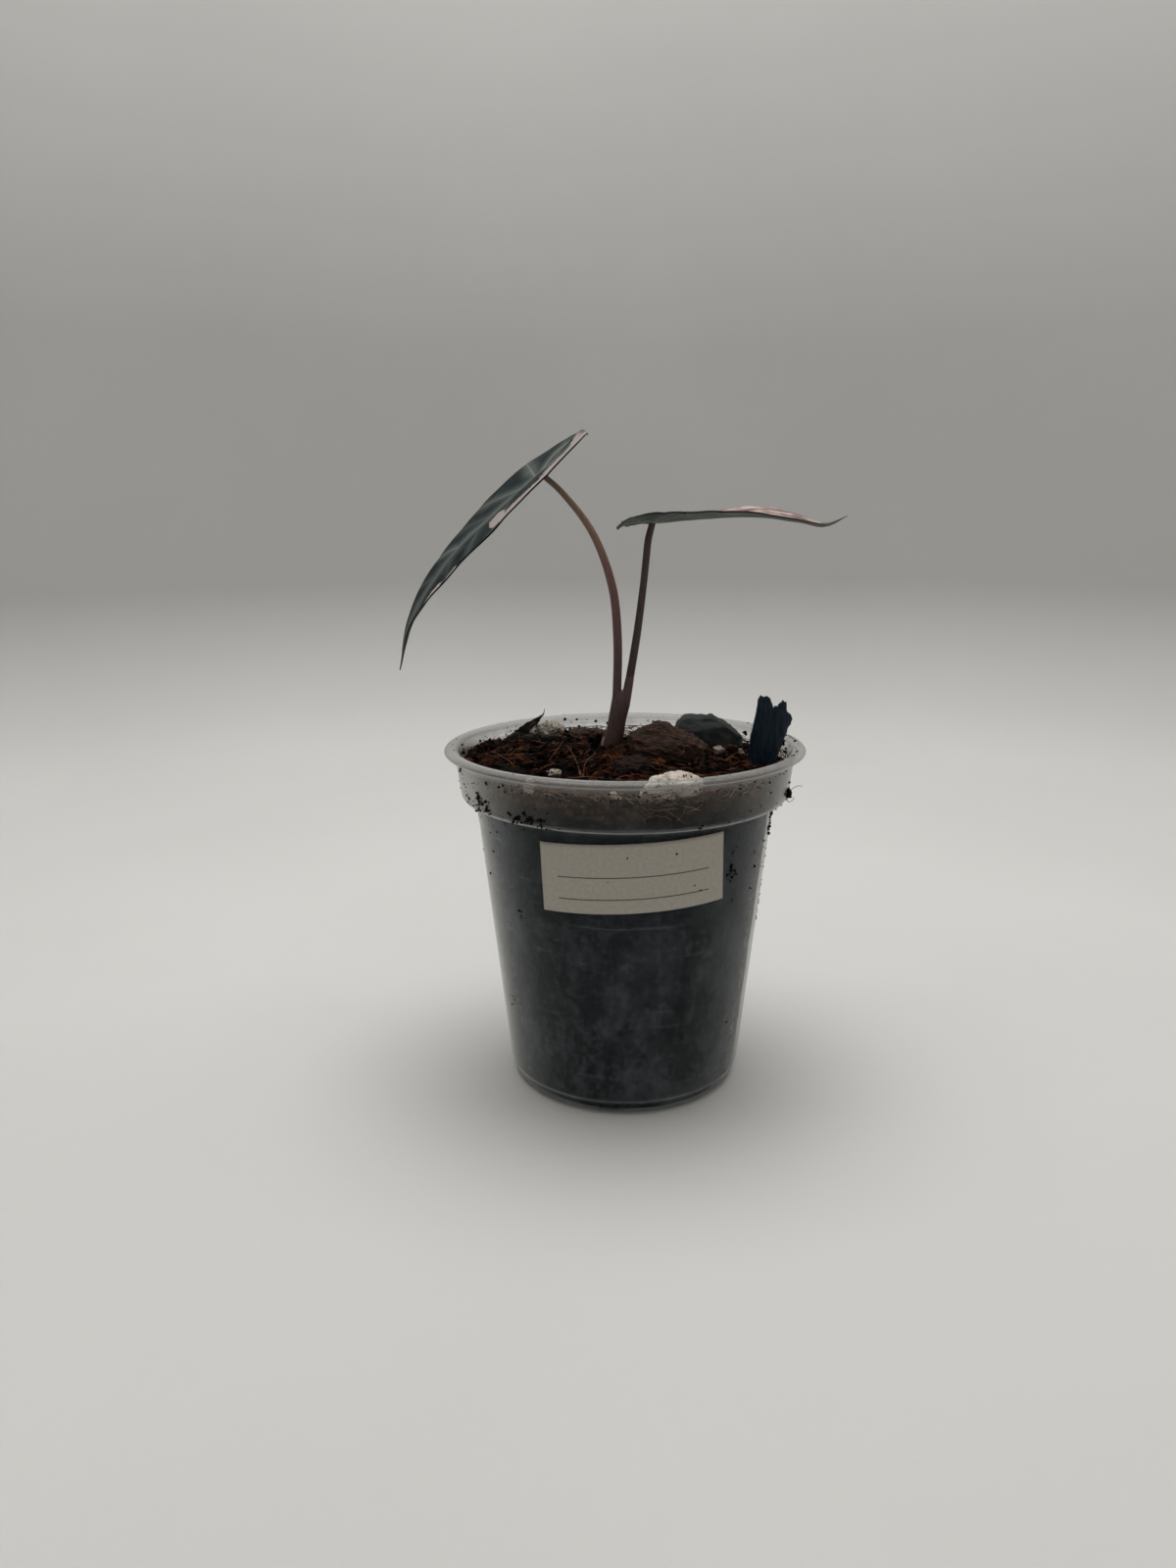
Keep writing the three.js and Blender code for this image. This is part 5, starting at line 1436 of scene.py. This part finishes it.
def make_stuck_soil():
    """Crumbs of mix stuck on the wall, the ledge, the lip and the label."""
    chance = random.Random(SOIL_SEED)
    bm = bmesh.new()
    for angle, level, size, count, spread in STUCK_CRUMBS:
        for _ in range(count):
            grain = 1.2 * size * chance.uniform(0.3, 1)
            a = angle + chance.gauss(0, spread / 2) / LEDGE_RADIUS
            z = min(level + chance.gauss(0, spread / 2), COLLAR_TOP[1])
            spot = on_wall(a, z, 0.35 * grain)
            grit(bm, spot, (grain * 0.7, grain * 0.6, grain * 0.5), tumbled(chance), chance)
    for angle, level, size in LABEL_SPECKS:
        grit(bm, on_wall(angle, level, LABEL_GAP + 0.2), (size,) * 3, Euler((1, 2, 3)), chance)
    for _ in range(LIP_SPECKS):
        a = chance.uniform(0, 2 * math.pi) if chance.random() < 0.5 else chance.gauss(1.5, 0.35)
        r = chance.uniform(*LIP_RADII)
        size = 0.12 + 0.3 * chance.random() ** 2
        spot = Vector((r * math.sin(a), -r * math.cos(a), LIP_HEIGHT))
        grit(bm, spot, (size, size, size * 0.5), Euler((0, 0, a)), chance)
    for _ in range(INNER_SPECKS):
        a = chance.uniform(0, 2 * math.pi)
        z = 82.5 + 3.6 * chance.random()
        size = 0.16 + 0.4 * chance.random() ** 2
        spot = on_wall(a, min(z, COLLAR_TOP[1]), -WALL - 0.1) + Vector((0, 0, max(z - COLLAR_TOP[1], 0)))
        grit(bm, spot, (size,) * 3, Euler((a, 0, a)), chance)
    for _ in range(WALL_SPECKS):
        a = chance.uniform(0, 2 * math.pi)
        z = 83.8 - 30 * chance.random() ** 2
        size = 0.12 + 0.2 * chance.random() ** 2
        grit(bm, on_wall(a, z, 0.05), (size,) * 3, Euler((a, 0, a)), chance)
    piece("stuck_soil", bm, [BLACK_CRUMB], "coir_mix", crease=0.6)
    bm = bmesh.new()
    strands(bm, [tapered([on_wall(*spot) for spot in hair], 16, 1, 0.5) for hair in HAIRS], 0.1)
    piece("stuck_hairs", bm, [TAN_COIR], "coir_mix")


# Studio

def make_studio():
    """The paper sweep, the softbox and the dim room."""
    bm = bmesh.new()
    curve = [
        (SWEEP_FLOOR + SWEEP_CURVE * math.sin(a), SWEEP_CURVE * (1 - math.cos(a)))
        for a in (math.pi / 2 * i / SWEEP_STEPS for i in range(SWEEP_STEPS + 1))
    ]
    spun(bm, [(0, 0), *curve, (SWEEP_FLOOR + SWEEP_CURVE, SWEEP_TOP)], SWEEP_SEGMENTS)
    mesh = in_metres("sweep", bm, STUDIO)
    mesh.shade_smooth()
    placed("sweep", mesh)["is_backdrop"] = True

    softbox = bpy.data.lights.new("softbox", "AREA")
    softbox.shape = "RECTANGLE"
    softbox.size, softbox.size_y = SOFTBOX_SIZE
    softbox.energy = SOFTBOX_WATTS
    softbox.spread = SOFTBOX_SPREAD
    placed("softbox", softbox).location = SOFTBOX_PLACE

    room = bpy.data.worlds.new("dim_room")
    room.use_nodes = True
    light = room.node_tree.nodes["Background"].inputs
    light["Color"].default_value = linear(ROOM_COLOUR)
    light["Strength"].default_value = ROOM_STRENGTH
    bpy.context.scene.world = room
    bpy.context.scene.view_settings.view_transform = "Standard"
    bpy.context.scene.view_settings.exposure = 0


def make_camera():
    """The photo's camera."""
    lens = bpy.data.cameras.new("photo_camera")
    lens.sensor_width = 36
    lens.lens = FOCAL_PIXELS / PHOTO_HEIGHT * lens.sensor_width
    lens.clip_start = 0.01
    camera = placed("photo_camera", lens)
    turn = Matrix.Rotation(CAMERA_PAN, 4, "Z")
    turn = turn @ Matrix.Rotation(math.pi / 2 - CAMERA_DOWN, 4, "X")
    turn = turn @ Matrix.Rotation(CAMERA_ROLL, 4, "Z")
    camera.matrix_world = Matrix.Translation(CAMERA_PLACE) @ turn
    bpy.context.scene.camera = camera


make_camera()
make_studio()
make_pot()
make_label()
make_mix()
make_crumbs()
make_bits()
make_chips()
make_fibres()
make_wall_fibres()
make_lumps()
make_stick()
make_shard()
make_leaf("blade_left", LEFT_LEAF, OLD_FACE, "leaf_left")
make_leaf("blade_right", RIGHT_LEAF, YOUNG_FACE, "leaf_right")
make_petioles()
make_stuck_soil()
bpy.data.objects["corm_with_roots"].data.materials.clear()
bpy.data.objects["corm_with_roots"].data.materials.append(CORM_SKIN)

[[list(corner) for corner in box] for box in (cad_box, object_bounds())]
